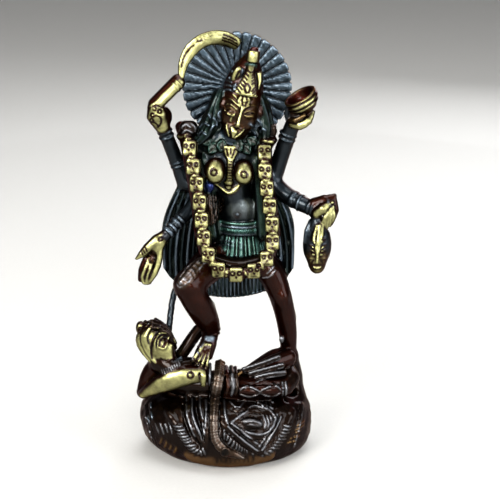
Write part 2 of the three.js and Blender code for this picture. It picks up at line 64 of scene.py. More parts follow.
NODE = "kali_figure"
CASTING = "kali_casting"
METRES = 0.001
NODE_LOW, NODE_HIGH = (np.array(corner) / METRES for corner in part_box(NODE))

# The pose is drawn on a grid that is 201.86 units high from the underside to the top of the blade.
GRID_HEIGHT = 201.86
UNIT = NODE_HIGH[2] / GRID_HEIGHT

BASE_HALF_WIDTH = 41.5
BASE_HALF_DEPTH = 31.0
BASE_HEIGHT = 33.0
BASE_LEAN = 3.0  # the underside lies this far towards +X of the widest part
HALO_CENTRE = (6.6, 12.6, 174.7)
HALO_RADIUS = 25.3
HALO_THICKNESS = 3.4
HEAD = (8.0, -3.0, 167.0)
HEAD_TURN = (8.0, 12.0, 0.0)

FAR = 4.0  # distances further than this from a surface aren't kept
STEP_BACK = 2.4  # a line traced on the surface breaks where the surface steps back by about this
FRONT = (0.0, -1.0, 0.0)
UP = (0.0, 0.0, 1.0)
ACROSS = (1.0, 0.0, 0.0)


def vector(values):
    return np.array(values, dtype=np.float64)


def unit(values):
    values = vector(values)
    return values / np.linalg.norm(values)


def turned(degrees):
    """Rotation matrix for turns about x, y and z."""
    a, b, c = np.radians(degrees)
    about_x = vector([[1, 0, 0], [0, math.cos(a), -math.sin(a)], [0, math.sin(a), math.cos(a)]])
    about_y = vector([[math.cos(b), 0, math.sin(b)], [0, 1, 0], [-math.sin(b), 0, math.cos(b)]])
    about_z = vector([[math.cos(c), -math.sin(c), 0], [math.sin(c), math.cos(c), 0], [0, 0, 1]])
    return about_x @ about_y @ about_z


def eased(low, high, values):
    """0 below `low`, 1 above `high` and a smooth step between them."""
    share = np.clip((values - low) / (high - low), 0, 1)
    return share * share * (3 - 2 * share)


def smooth_curve(points, pitch):
    """Points every `pitch` along a smooth curve through `points`, and each one's share of the way.

    The share grows evenly from one given point to the next, so that girths stay with their points."""
    points = [vector(point) for point in points]
    if len(points) == 2:
        count = max(int(math.dist(*points) / pitch), 1)
        shares = np.linspace(0, 1, count + 1)
        return [points[0] + (points[1] - points[0]) * share for share in shares], list(shares)
    ends = [2 * points[0] - points[1], *points, 2 * points[-1] - points[-2]]
    found, shares = [], []
    spans = len(points) - 1
    for i in range(spans):
        p0, p1, p2, p3 = ends[i:i + 4]
        gaps = [math.dist(a, b) for a, b in ((p0, p1), (p1, p2), (p2, p3))]
        knots = np.cumsum([0] + [max(gap, 1e-6) ** 0.5 for gap in gaps])
        steps = max(int(math.dist(p1, p2) / pitch), 1)
        for step in range(steps + (i == spans - 1)):
            t = knots[1] + (knots[2] - knots[1]) * step / steps
            a1 = ((knots[1] - t) * p0 + t * p1) / knots[1]
            a2 = ((knots[2] - t) * p1 + (t - knots[1]) * p2) / (knots[2] - knots[1])
            a3 = ((knots[3] - t) * p2 + (t - knots[2]) * p3) / (knots[3] - knots[2])
            b1 = ((knots[2] - t) * a1 + t * a2) / knots[2]
            b2 = ((knots[3] - t) * a2 + (t - knots[1]) * a3) / (knots[3] - knots[1])
            found.append(((knots[2] - t) * b1 + (t - knots[1]) * b2) / (knots[2] - knots[1]))
            shares.append((i + step / steps) / spans)
    return found, shares


def at_share(values, share):
    """The [half width, half depth] at a share of the way along a list of them, or of round girths."""
    pairs = [value if isinstance(value, (tuple, list)) else (value, value) for value in values]
    place = share * (len(pairs) - 1)
    low = min(int(place), len(pairs) - 1)
    high = min(low + 1, len(pairs) - 1)
    return [a + (b - a) * (place - low) for a, b in zip(pairs[low], pairs[high])]


class Part:
    """A stretch of a form: its distance function and the box that holds it."""

    def __init__(self, distance, low, high):
        self.distance = distance
        self.low = vector(low)
        self.high = vector(high)


class Form:
    """Something added to the clay, or cut from it, with the finish that its surface gets."""

    def __init__(self, parts, finish, blend=0.8, cut=False):
        self.parts = parts if isinstance(parts, list) else [parts]
        self.finish = finish
        self.blend = blend
        self.cut = cut
        self.low = np.min([part.low for part in self.parts], axis=0)
        self.high = np.max([part.high for part in self.parts], axis=0)


def stretch(start, end, girths, width, depth, run, relief):
    """A straight, tapered stretch of a limb with an elliptical section."""
    (a0, b0), (a1, b1) = girths
    length = max(math.dist(start, end), 1e-6)
    tangent = (end - start) / length
    round_section = a0 == b0 and a1 == b1

    def distance(x, y, z):
        x, y, z = x - start[0], y - start[1], z - start[2]
        along = x * tangent[0] + y * tangent[1] + z * tangent[2]
        kept = np.clip(along, 0, length)
        share = kept / length
        beyond = along - kept
        u = x * width[0] + y * width[1] + z * width[2]
        v = x * depth[0] + y * depth[1] + z * depth[2]
        a = a0 + (a1 - a0) * share
        if round_section:
            found = np.sqrt(u * u + v * v + beyond * beyond) - a
        else:
            b = b0 + (b1 - b0) * share
            c = np.minimum(a, b)
            first = np.sqrt((u / a) ** 2 + (v / b) ** 2 + (beyond / c) ** 2)
            second = np.sqrt((u / a**2) ** 2 + (v / b**2) ** 2 + (beyond / c**2) ** 2)
            found = first * (first - 1) / np.maximum(second, 1e-4)
        if relief is None:
            return found
        (run0, run1), (share0, share1) = run
        angle = np.arctan2(u / max(a0, 1e-3), v / max(b0, 1e-3))
        return found - relief(run0 + (run1 - run0) * share, angle, share0 + (share1 - share0) * share)

    reach = max(a0, b0, a1, b1) + 1.2
    return Part(distance, np.minimum(start, end) - reach, np.maximum(start, end) + reach)


def limb(points, girths, finish, *, face=FRONT, blend=0.8, pitch=1.8, relief=None, cut=False):
    """A round-ended form along a smooth curve. Its width lies across `face` and its depth along it.

    `relief` gives the rise of the surface from the run in mm, the angle from `face` and the share."""
    places, shares = smooth_curve([vector(point) * UNIT for point in points], pitch)
    runs = np.concatenate([[0], np.cumsum([math.dist(a, b) for a, b in zip(places, places[1:])])])
    parts = []
    for i in range(len(places) - 1):
        tangent = unit(places[i + 1] - places[i])
        depth = unit(vector(face) - tangent * np.dot(face, tangent))
        width = np.cross(tangent, depth)
        ends = [[girth * UNIT for girth in at_share(girths, share)] for share in shares[i:i + 2]]
        run = (runs[i:i + 2], shares[i:i + 2])
        parts.append(stretch(places[i], places[i + 1], ends, width, depth, run, relief))
    return Form(parts, finish, blend, cut)


def ball(centre, radii, finish, *, turn=(0, 0, 0), blend=0.8, cut=False):
    """An ellipsoid, turned by degrees about x, y and z."""
    centre = vector(centre) * UNIT
    a, b, c = vector(radii) * UNIT
    axes = turned(turn)

    def distance(x, y, z):
        x, y, z = x - centre[0], y - centre[1], z - centre[2]
        p, q, r = (x * axis[0] + y * axis[1] + z * axis[2] for axis in axes.T)
        p, q, r = p / a, q / b, r / c
        first = np.sqrt(p * p + q * q + r * r)
        second = np.sqrt((p / a) ** 2 + (q / b) ** 2 + (r / c) ** 2)
        return first * (first - 1) / np.maximum(second, 1e-4)

    reach = max(a, b, c) + 1
    return Form(Part(distance, centre - reach, centre + reach), finish, blend, cut)


def ring(centre, normal, radius, thickness, finish, *, blend=0.2, cut=False):
    centre = vector(centre) * UNIT
    n = unit(normal)

    def distance(x, y, z):
        x, y, z = x - centre[0], y - centre[1], z - centre[2]
        off = x * n[0] + y * n[1] + z * n[2]
        across = np.sqrt(np.maximum(x * x + y * y + z * z - off * off, 0))
        return np.sqrt((across - radius * UNIT) ** 2 + off**2) - thickness * UNIT

    reach = (radius + thickness) * UNIT + 0.5
    return Form(Part(distance, centre - reach, centre + reach), finish, blend, cut)


def turned_outline(outline):
    """Signed distance to a closed outline in a plane, from its two coordinates."""
    corners = [vector(corner) for corner in outline]

    def distance(r, h):
        nearest = None
        inside = None
        for (r0, h0), (r1, h1) in zip(corners, corners[1:] + corners[:1]):
            dr, dh = r1 - r0, h1 - h0
            share = np.clip(((r - r0) * dr + (h - h0) * dh) / max(dr * dr + dh * dh, 1e-9), 0, 1)
            square = (r - r0 - dr * share) ** 2 + (h - h0 - dh * share) ** 2
            nearest = square if nearest is None else np.minimum(nearest, square)
            if dh != 0:
                crossing = ((h0 > h) != (h1 > h)) & (r < dr * (h - h0) / dh + r0)
                inside = crossing if inside is None else inside ^ crossing
        return np.where(inside, -1, 1) * np.sqrt(nearest)

    return distance


def ripple(x, y, z, size):
    """An uneven surface, from -1 to 1, whose lumps are about `size` across."""
    k = 2 * math.pi / (2.2 * size)
    across, along = x + 0.6 * y, 0.9 * z - 0.4 * x
    one = np.sin(k * across + 1.7 * np.sin(0.53 * k * z)) * np.sin(k * along + 0.8)
    across, along = 1.7 * (0.8 * x - y), 1.7 * (z + 0.5 * y)
    two = np.sin(k * across + 0.3) * np.sin(k * along + 2.1 * np.sin(0.4 * k * x))
    return 0.62 * one + 0.38 * two


class Clay:
    """The block that the figure is modelled in: signed distances on a grid, negative inside."""

    def __init__(self, low, high, cell):
        self.low = vector(low)
        self.cell = cell
        self.count = np.ceil((vector(high) - self.low) / cell).astype(int) + 1
        self.distance = np.full(self.count, FAR, np.float32)
        self.forms = []

    def window(self, low, high):
        start = np.clip(np.floor((low - self.low) / self.cell).astype(int), 0, self.count)
        stop = np.clip(np.ceil((high - self.low) / self.cell).astype(int) + 1, 0, self.count)
        lines = [
            (self.low[i] + self.cell * np.arange(start[i], stop[i])).astype(np.float32)
            for i in range(3)
        ]
        return start, stop, (lines[0][:, None, None], lines[1][None, :, None], lines[2][None, None, :])

    def add(self, *forms):
        for form in forms:
            margin = min(FAR, form.blend + 1.0)
            start, stop, _ = self.window(form.low - margin, form.high + margin)
            fresh = np.full(stop - start, FAR, np.float32)
            for part in form.parts:
                begin, end, place = self.window(part.low - margin, part.high + margin)
                if np.any(end <= begin):
                    continue
                cut = tuple(slice(a - s, b - s) for a, b, s in zip(begin, end, start))
                fresh[cut] = np.minimum(fresh[cut], part.distance(*place))
            whole = tuple(slice(a, b) for a, b in zip(start, stop))
            held = self.distance[whole]
            k = max(form.blend * UNIT, 1e-3)
            if form.cut:
                share = np.clip(0.5 - 0.5 * (held + fresh) / k, 0, 1)
                self.distance[whole] = held * (1 - share) - fresh * share + k * share * (1 - share)
            else:
                share = np.clip(0.5 + 0.5 * (held - fresh) / k, 0, 1)
                self.distance[whole] = held * (1 - share) + fresh * share - k * share * (1 - share)
            self.forms.append(form)

    def column(self, x, z):
        i = min(max(round((x - self.low[0]) / self.cell), 0), self.count[0] - 1)
        k = min(max(round((z - self.low[2]) / self.cell), 0), self.count[2] - 1)
        return self.distance[i, :, k]

    def front(self, x, z, sunk=0.0):
        """The foremost point of the surface at x and z, `sunk` into it, in units of the pose grid."""
        line = self.column(x * UNIT, z * UNIT)
        hits = np.nonzero(line < 0)[0]
        if len(hits) == 0:
            return None
        j = hits[0]
        share = line[j - 1] / (line[j - 1] - line[j]) if j > 0 else 0
        return vector([x, (self.low[1] + self.cell * (j - 1 + share)) / UNIT + sunk, z])

    def traced(self, route, sunk=0.0, pitch=0.7):
        """A route given by x and z, laid on the front of the surface."""
        places, _ = smooth_curve([(x, 0.0, z) for x, z in route], pitch)
        found = [self.front(place[0], place[2], sunk) for place in places]
        return [place for place in found if place is not None]

    def stroke(self, route, radius, finish, *, cut=False, sunk=0.0, pitch=0.7):
        """A thin raised or engraved line on the front of the surface."""
        line = self.traced(route, sunk, pitch)
        if len(line) < 2:
            return
        girths = [0.75 * radius, radius, radius, 0.75 * radius]
        parts = []
        shares = np.linspace(0, 1, len(line))
        for i in range(len(line) - 1):
            start, end = line[i] * UNIT, line[i + 1] * UNIT
            if not 1e-5 < math.dist(start, end) < STEP_BACK * UNIT:
                continue
            tangent = unit(end - start)
            depth = unit(vector(FRONT) - tangent * np.dot(FRONT, tangent))
            ends = [[girth * UNIT for girth in at_share(girths, share)] for share in shares[i:i + 2]]
            parts.append(stretch(start, end, ends, np.cross(tangent, depth), depth, None, None))
        if parts:
            self.add(Form(parts, finish, blend=0.25, cut=cut))


def rings(pitch, rise):
    """Rings round a limb, `pitch` apart along it."""
    return lambda run, angle, share: rise * np.cos(2 * math.pi * run / pitch)


def strands(count, rise, twist=0.0):
    """Strands along a limb, as in a lock of hair or a rope."""
    return lambda run, angle, share: rise * np.cos(count * angle + twist * run)


def scales(count, pitch, rise):
    """A diamond pattern, as on a snake."""
    k = 2 * math.pi / pitch

    def relief(run, angle, share):
        return rise * np.cos(count * angle + k * run) * np.cos(count * angle - k * run)

    return relief


def rounded(first, second):
    """Distance to the edge between two faces, from the distance to each: a round edge outside them."""
    outside = np.sqrt(np.maximum(first, 0) ** 2 + np.maximum(second, 0) ** 2)
    return outside + np.minimum(np.maximum(first, second), 0)


def cuff(centre, direction, radius, length, finish, *, pitch=1.3, rise=0.25):
    """A bangle, anklet or block: a short cylinder with rings round it."""
    centre = vector(centre) * UNIT
    t = unit(direction)
    depth = unit(vector(FRONT) - t * np.dot(FRONT, t))
    width = np.cross(t, depth)
    half = length / 2 * UNIT
    edge = 0.3

    def distance(x, y, z):
        x, y, z = x - centre[0], y - centre[1], z - centre[2]
        along = x * t[0] + y * t[1] + z * t[2]
        u = x * width[0] + y * width[1] + z * width[2]
        v = x * depth[0] + y * depth[1] + z * depth[2]
        out = np.sqrt(u * u + v * v) - radius * UNIT - rise * np.cos(2 * math.pi * along / pitch) + edge
        off = np.abs(along) - half + edge
        return rounded(out, off) - edge

    reach = (radius + length) * UNIT + 1
    return Form(Part(distance, centre - reach, centre + reach), finish, blend=0.25)


def band(centre, direction, radius, length, finish):
    """A plain bangle, almost without rings."""
    return cuff(centre, direction, radius, length, finish, pitch=9, rise=0.1)


def block(centre, axes, halves, rounding, finish, *, blend):
    """A box with rounded edges. `axes` are its directions across, to the front and up."""
    centre = vector(centre) * UNIT
    cores = vector(halves) * UNIT - rounding

    def distance(x, y, z):
        x, y, z = x - centre[0], y - centre[1], z - centre[2]
        off = [np.abs(x * axis[0] + y * axis[1] + z * axis[2]) - core for axis, core in zip(axes, cores)]
        outside = np.sqrt(sum(np.maximum(value, 0) ** 2 for value in off))
        return outside + np.minimum(np.maximum(np.maximum(off[0], off[1]), off[2]), 0) - rounding

    reach = np.linalg.norm(vector(halves)) * UNIT + 0.5
    return Form(Part(distance, centre - reach, centre + reach), finish, blend)


def pair(make):
    """Both of a mirrored pair: `make` gets -1 for the side towards -X and 1 for the other."""
    return [make(-1), make(1)]


def rock():
    """The mound: a low round rock, flat below, with an uneven skin."""
    profile = [
        (0.75, 0.0), (0.83, 0.025), (0.89, 0.08), (0.94, 0.16), (0.97, 0.24), (0.995, 0.37), (1.0, 0.49),
        (0.99, 0.59), (0.96, 0.68), (0.92, 0.76), (0.86, 0.83), (0.77, 0.89), (0.66, 0.94), (0.52, 0.975),
        (0.36, 1.0),
    ]
    mean_half = (BASE_HALF_WIDTH + BASE_HALF_DEPTH) / 2
    outline = [(-1.0, 0.0), *[(across * mean_half, level * BASE_HEIGHT) for across, level in profile]]
    outline.append((-1.0, BASE_HEIGHT))
    from_outline = turned_outline(outline)

    def distance(x, y, z):
        x, y, z = x / UNIT, y / UNIT, z / UNIT
        level = np.clip(z / BASE_HEIGHT, 0, 1)
        lean = BASE_LEAN * (1 - level) ** 2
        across = np.sqrt(((x - lean) / BASE_HALF_WIDTH) ** 2 + (y / BASE_HALF_DEPTH) ** 2)
        found = from_outline(across * mean_half, z + 0 * across)
        rough = 0.45 * ripple(x, y, z, 9) + 0.2 * ripple(y, z, x, 3.5)
        rise = rough * np.clip(z / 4, 0, 1)
        return np.maximum(found - rise, -z) * UNIT

    low = vector([-BASE_HALF_WIDTH - 1, -BASE_HALF_DEPTH - 1, 0]) * UNIT
    high = vector([BASE_HALF_WIDTH + 1, BASE_HALF_DEPTH + 1, BASE_HEIGHT + 1]) * UNIT
    return Form(Part(distance, low, high), "soot", blend=0.01)


def fur(clay, border, length, lean, finish, pitch=1.55, radius=0.5):
    """Tufts of fur: short strokes side by side along a border, turned by `lean` degrees from it."""
    places, _ = smooth_curve([(x, 0.0, z) for x, z in border], pitch)
    angle = math.radians(lean)
    for i, (here, ahead) in enumerate(zip(places, places[1:])):
        along = unit(ahead - here)
        side = vector([
            along[0] * math.cos(angle) - along[2] * math.sin(angle),
            0,
            along[0] * math.sin(angle) + along[2] * math.cos(angle),
        ])
        reach = length * (0.85 + 0.15 * math.sin(2.4 * i))
        start, end = here - 0.35 * reach * side, here + 0.65 * reach * side
        middle = (start + end) / 2 + 0.18 * along
        clay.stroke([(p[0], p[2]) for p in (start, middle, end)], radius, finish, sunk=-0.1)


def double_line(clay, route, gap, radius, finish):
    """Two parallel raised lines, as along a seam."""
    places, _ = smooth_curve([(x, 0.0, z) for x, z in route], 2.0)
    for side in (-1, 1):
        shifted = []
        for i, place in enumerate(places):
            ahead = places[min(i + 1, len(places) - 1)] - places[max(i - 1, 0)]
            along = unit(ahead)
            shifted.append((place[0] - side * gap / 2 * along[2], place[2] + side * gap / 2 * along[0]))
        clay.stroke(shifted, radius, finish)


def dotted_ring(clay, x, z, radius):
    """A small engraved ring with a dot in it."""
    dot = clay.front(x, z, 0.1)
    steps = 12
    turns = [2 * math.pi * i / steps for i in range(steps + 1)]
    circle = [(x + radius * math.sin(turn), z - radius * math.cos(turn)) for turn in turns]
    clay.stroke(circle, 0.34, "soot", cut=True, pitch=0.45)
    clay.add(ball(dot, [0.42 * radius] * 3, "gold", blend=0.1))


def engraved(clay, routes, radius=0.32):
    """Dark lines cut into the front of the surface."""
    strokes(clay, routes, radius, "soot", cut=True)


def strokes(clay, routes, radius, finish, **settings):
    """Several thin lines of one kind on the front of the surface."""
    for route in routes:
        clay.stroke(route, radius, finish, **settings)


def model_mound(clay):
    clay.add(rock())
    clay.add(limb([(30, 6, 19), (31, 7, 33), (31.4, 7.2, 44)], [(9, 12), (7.2, 9), (4.2, 4.6)], "soot",
                  blend=5))
    model_left_fold(clay)
    model_right_fold(clay)
    wisp_count = 8
    for side in (-1, 1):
        for i in range(wisp_count):
            x, z = side * (33.4 + 0.6 * i), 6.4 + 2.2 * i
            clay.stroke([(x, z), (x + 0.4 * side, z + 2.8)], 0.42, "silver", sunk=-0.05)
            engraved(clay, [[(x - 1.6 * side, z + 1), (x - 1.1 * side, z + 4)]], 0.36)
    grass_count = 9
    for i in range(grass_count):
        x = -3 + 2.1 * i
        engraved(clay, [[(x, 4.2 + 0.2 * (i % 3)), (x + 0.5 * (-1) ** i, 7.4)]], 0.34)


def model_left_fold(clay):
    """A fold of the hide that hangs to a point, edged with fur, left of the snake."""
    clay.add(ball(clay.front(-20, 32, 0.4), (9.5, 3.4, 5.5), "soot", cut=True, blend=2.5))
    clay.add(limb(
        clay.traced([(-26, 26), (-19, 19), (-14.4, 13), (-10, 11), (-7.6, 17), (-6.4, 26)], 0.6),
        [1.6, 2.4, 2.6, 2.2, 1.8], "soot", blend=1.4,
    ))
    clay.add(limb(clay.traced([(-15.8, 35), (-15.4, 28), (-12.8, 21.6), (-10.2, 16)], 0),
                  [1.6, 2.2, 2.2, 1.2], "soot", blend=0.6))
    double_line(clay, [(-16, 35), (-15.6, 28), (-13, 21.6), (-10.4, 15.8)], 2.6, 0.62, "silver")
    engraved(clay, [[(-15.8, 34), (-15.3, 28), (-12.8, 21.6), (-10.6, 17)]], 0.5)
    engraved(clay, [[(-12.6, 34), (-12.4, 28), (-10.4, 22), (-8.6, 15.6)],
                    [(-19.4, 30), (-18, 24), (-15, 18)]], 0.7)
    strokes(clay, [
        [(-10.6, 34), (-10.8, 29.6), (-9.4, 26)], [(-8.2, 33), (-7.9, 27.6), (-8.2, 22.4)],
        [(-9.4, 24), (-8.6, 19.6)],
    ], 0.7, "silver")
    fur(clay, [(-21.8, 21.8), (-17.6, 15), (-14, 10.4), (-10.2, 8.6), (-7, 10.8)], 5, 66, "silver",
        radius=0.55)
    fur(clay, [(-31.6, 18), (-27, 19.6), (-23, 20.8)], 5.4, -88, "silver", pitch=1.8, radius=0.45)
    fur(clay, [(-29.6, 11.6), (-25, 9.6), (-20.4, 7.4)], 4.4, -84, "bronze", pitch=1.8, radius=0.42)
    strokes(clay, [[(-35.4, 27.6), (-34.6, 25)], [(-34.4, 23.4), (-33.6, 21)], [(-36, 21), (-35.2, 18.4)]],
            0.7, "steel")


def model_right_fold(clay):
    """A wide fold of the hide with a beast's eye on it, edged with fur, right of the snake."""
    clay.add(ball(clay.front(30, 32, 0.4), (5.5, 3.4, 6.5), "soot", cut=True, blend=2.5))
    clay.add(limb(
        clay.traced([(-0.4, 24), (5.4, 19.4), (10.8, 14.4), (17, 9.8), (20, 9.8), (25, 14), (29.4, 19.4),
                     (32.4, 24)], 1.1),
        [1.6, 2.2, 2.4, 2.6, 2.6, 2.4, 2.2, 1.6], "soot", blend=1.4,
    ))
    fur(clay, [(-1.4, 20.6), (2.4, 18.6), (6.3, 13.8), (10.9, 9.4), (15.6, 7)], 5, -62, "silver",
        radius=0.55)
    fur(clay, [(19.4, 7.2), (23.6, 10.8), (27.4, 15.8), (30.6, 21.2)], 4.8, -80, "silver", radius=0.52)
    fur(clay, [(31.6, 10.6), (34.6, 14.6), (37, 19.6)], 4.4, -62, "bronze", pitch=1.8, radius=0.42)
    clay.add(ball(clay.front(3, 6.8, 3), (21, 3, 5.6), "bronze", blend=2.5))
    spines = [
        [(3.2, 24), (7.7, 20), (12.2, 15.8), (16.9, 11.6)],
        [(17.4, 11.6), (19.8, 14.4), (23.2, 19.8), (26.4, 24.6)],
    ]
    for spine in spines:
        double_line(clay, spine, 2.2, 0.58, "silver")
    engraved(clay, [
        *spines,
        [(0.8, 20.8), (6, 16), (11.4, 11.4), (16.8, 8.6)], [(20.2, 9.4), (24.6, 14.4), (28.4, 19.8)],
        [(5.4, 21.2), (9.6, 18), (14.6, 15.6), (18.4, 15.4)], [(20.2, 16.4), (23.4, 19.2), (25.8, 23.4)],
    ], 0.5)
    strokes(clay, [[(0.4, 31.6), (1, 27.6), (2.2, 24.2)]], 0.7, "silver")

    lids = [
        [(3.9, 24.6), (7.9, 26.9), (13.5, 29.3), (18, 28.7), (22, 27.1), (24.6, 24.3)],
        [(3.9, 24.2), (8.3, 21.6), (12.9, 19.4), (18.8, 18.2), (22.8, 20.4), (24.6, 23.8)],
    ]
    strokes(clay, lids, 0.62, "silver")
    clay.add(ball(clay.front(13.4, 23.6, 0.5), (5.2, 2.2, 2.5), "silver", turn=(0, 8, 0), blend=0.4))
    engraved(clay, [
        [(6.8, 24.2), (9.8, 26.3), (13.8, 27.3), (17.8, 26.7)],
        [(6.6, 23.2), (9.4, 21.4), (13.6, 20.6), (17.2, 20.4)],
        [(10.6, 23.8), (13.2, 24.6), (16.2, 23.8)],
    ], 0.45)
    fold_count = 3
    folds = [
        [(18.8 + 1.7 * i, 25.8 - 0.3 * i), (19.8 + 1.5 * i, 22.8 - 0.3 * i), (19.4 + 1.4 * i, 20.4)]
        for i in range(fold_count)
    ]
    strokes(clay, folds, 0.52, "silver")

    bands = [
        [(1.8, 34), (6.2, 32.4), (10.6, 33.4), (14.4, 32.8)],
        [(3, 31.2), (7.2, 29.6), (11.4, 31.2), (16.4, 30.2), (23.2, 27.6)],
        [(14.4, 33), (19, 31.4), (23.6, 29.2)],
    ]
    strokes(clay, bands, 0.6, "silver")
    engraved(clay, [
        [(2.4, 32.7), (6.8, 31), (11, 32.2), (15.4, 31.2)], [(4, 29), (7.4, 28), (12.2, 29.4), (16, 28.9)],
        [(25, 33), (28, 30), (30.6, 27)],
    ], 0.5)
    tick_count = 4
    for i in range(tick_count):
        x, z = 15.8 + 2 * i, 32 - 0.8 * i
        strokes(clay, [[(x, z), (x + 0.9, z - 2.2)]], 0.42, "silver")


def model_snake(clay):
    over_body = [(-1.6, -12, 46.6), (-2, -20.4, 43.6), (-3, -22.6, 38.4)]
    on_mound = [(-3.8, 33), (-4.2, 27), (-4.2, 22), (-3.4, 17.2), (-1.6, 14.2), (1.2, 11.6)]
    downhill = clay.traced(on_mound, -0.8, pitch=4)
    clay.add(limb(over_body + downhill, [2.4, 2.4, 2.2, 2, 1.9, 1.9, 2.1, 2.3], "snake", blend=0.3,
                  relief=scales(3, 2.6, 0.4)))
    head = clay.traced([(0.6, 12.4), (4.2, 9.8), (9.4, 7.4)], -0.6, pitch=3)
    clay.add(limb(head, [(2.4, 1.7), (2.2, 1.6), (0.8, 0.9)], "snake", blend=0.4))
    for x, z in ((1.6, 13), (-0.4, 10.6)):
        clay.add(ball(clay.front(x, z), (0.6, 0.6, 0.6), "silver", blend=0.1))
    engraved(clay, [[(2.2, 9.8), (5.6, 8.2), (9.6, 6.8)]], 0.3)
    for side in (-1, 1):
        route = [(-2 + 3 * side, 43.6), (-3.4 + 2.7 * side, 37), (-4.2 + 2.6 * side, 27),
                 (-3.5 + 2.7 * side, 17.4)]
        engraved(clay, [route], 0.5)


def model_lying_figure(clay):
    clay.add(
        limb([(-27, -8, 38), (-16, -10, 37), (-4, -10.6, 36), (8, -10, 34)],
             [(6.5, 6), (7, 6.5), (6, 6.5), (6, 6)], "soot", face=UP, blend=3),
        limb([(-28.5, -8.4, 47), (-35, -7.4, 39.6), (-38.2, -8.6, 31.6)], [5.6, 4.4, 3.4], "umber",
             blend=2.5),
        limb([(8, -3, 35.5), (20, -3, 38), (30, -2, 39)], [5, 5, 4.2], "soot", blend=2),
        limb([(3, -12, 35), (15, -14.5, 35.6), (28, -13, 35.6)], [6.4, 5.6, 4.4], "umber", blend=1.5),
        limb([(28, -13, 35.6), (32, -8, 38), (30, -2, 40)], [4.4, 4.2, 4], "soot", blend=2),
        limb([(-30, -12, 48), (-24, -15.6, 47), (-16, -14.6, 48)], [5, 4.2, 3.4], "soot", blend=2),
        limb([(-10, -17.8, 44.3), (-17, -18.8, 43.9), (-23.8, -18.6, 41.7), (-29.4, -17.4, 38.9),
              (-34, -15, 35.6), (-38.2, -11.8, 31.9)],
             [(4, 3.4), (4.9, 3.6), (5, 3.6), (4.5, 3.4), (3.6, 3), (2.3, 2.4)], "gold", blend=0.9),
    )
    dotted_ring(clay, -15.1, 45.4, 1.45)
    clay.add(
        limb([(-9.2, -15.5, 48.6), (-9, -20.7, 44.6), (-9.2, -19.8, 39.8)], [(1.5, 1.2)] * 3, "gold",
             blend=0.25),
        limb([(-6.2, -15.5, 48.2), (-6.1, -20.5, 44.2), (-6.2, -19.7, 39.8)], [(0.8, 1.2)] * 3, "silver",
             blend=0.25),
        *[
            limb([(x, -16, 48.6), (x + 0.1, -21.9, 44.4), (x, -21, 39.4)], [0.5] * 3, "soot",
                 cut=True, blend=0.2)
            for x in (-11.1, -7.4)
        ],
    )
    for x, width, finish in ((1.7, 1.1, "umber"), (4.2, 1.1, "silver"), (6.2, 0.7, "soot")):
        line = [(x - 0.5, -11, 45), (x, -17.6, 43.4), (x + 0.5, -20.4, 38.6), (x - 0.4, -20.4, 34.6)]
        clay.add(limb(line, [width, 1.2 * width, 1.1 * width, 0.6 * width], finish, blend=0.3))
    model_sash(clay)
    model_lying_head(clay)


def model_sash(clay):
    """A sash over the thigh, crossed in a wave, with two bars at its end."""
    sash = [(8.5, -19.3, 36.4), (13, -20, 36.4), (17.5, -19.6, 36.6), (22, -19.2, 36.4), (26.4, -17.8, 36)]
    clay.add(limb(sash, [(2.7, 1.5)] * 5, "umber", blend=0.5))
    upper = [(7.8, 36.6), (10, 38.8), (13.6, 38.6), (17, 36.6), (20.6, 34.2), (24, 33.8), (26.6, 35.4)]
    lower = [(8, 35.2), (11.8, 34), (15, 34.8), (18.4, 37.4), (22, 38.9), (25.4, 38.5), (26.8, 36.6)]
    strokes(clay, [upper, lower], 0.55, "silver")
    inner = [[(x, z - 0.35 * (z - 36.4)) for x, z in route] for route in (upper, lower)]
    engraved(clay, inner, 0.3)
    for x in (27.7, 29.3):
        clay.stroke([(x, 39.4), (x + 0.3, 36.4), (x, 33.2)], 0.6, "silver")


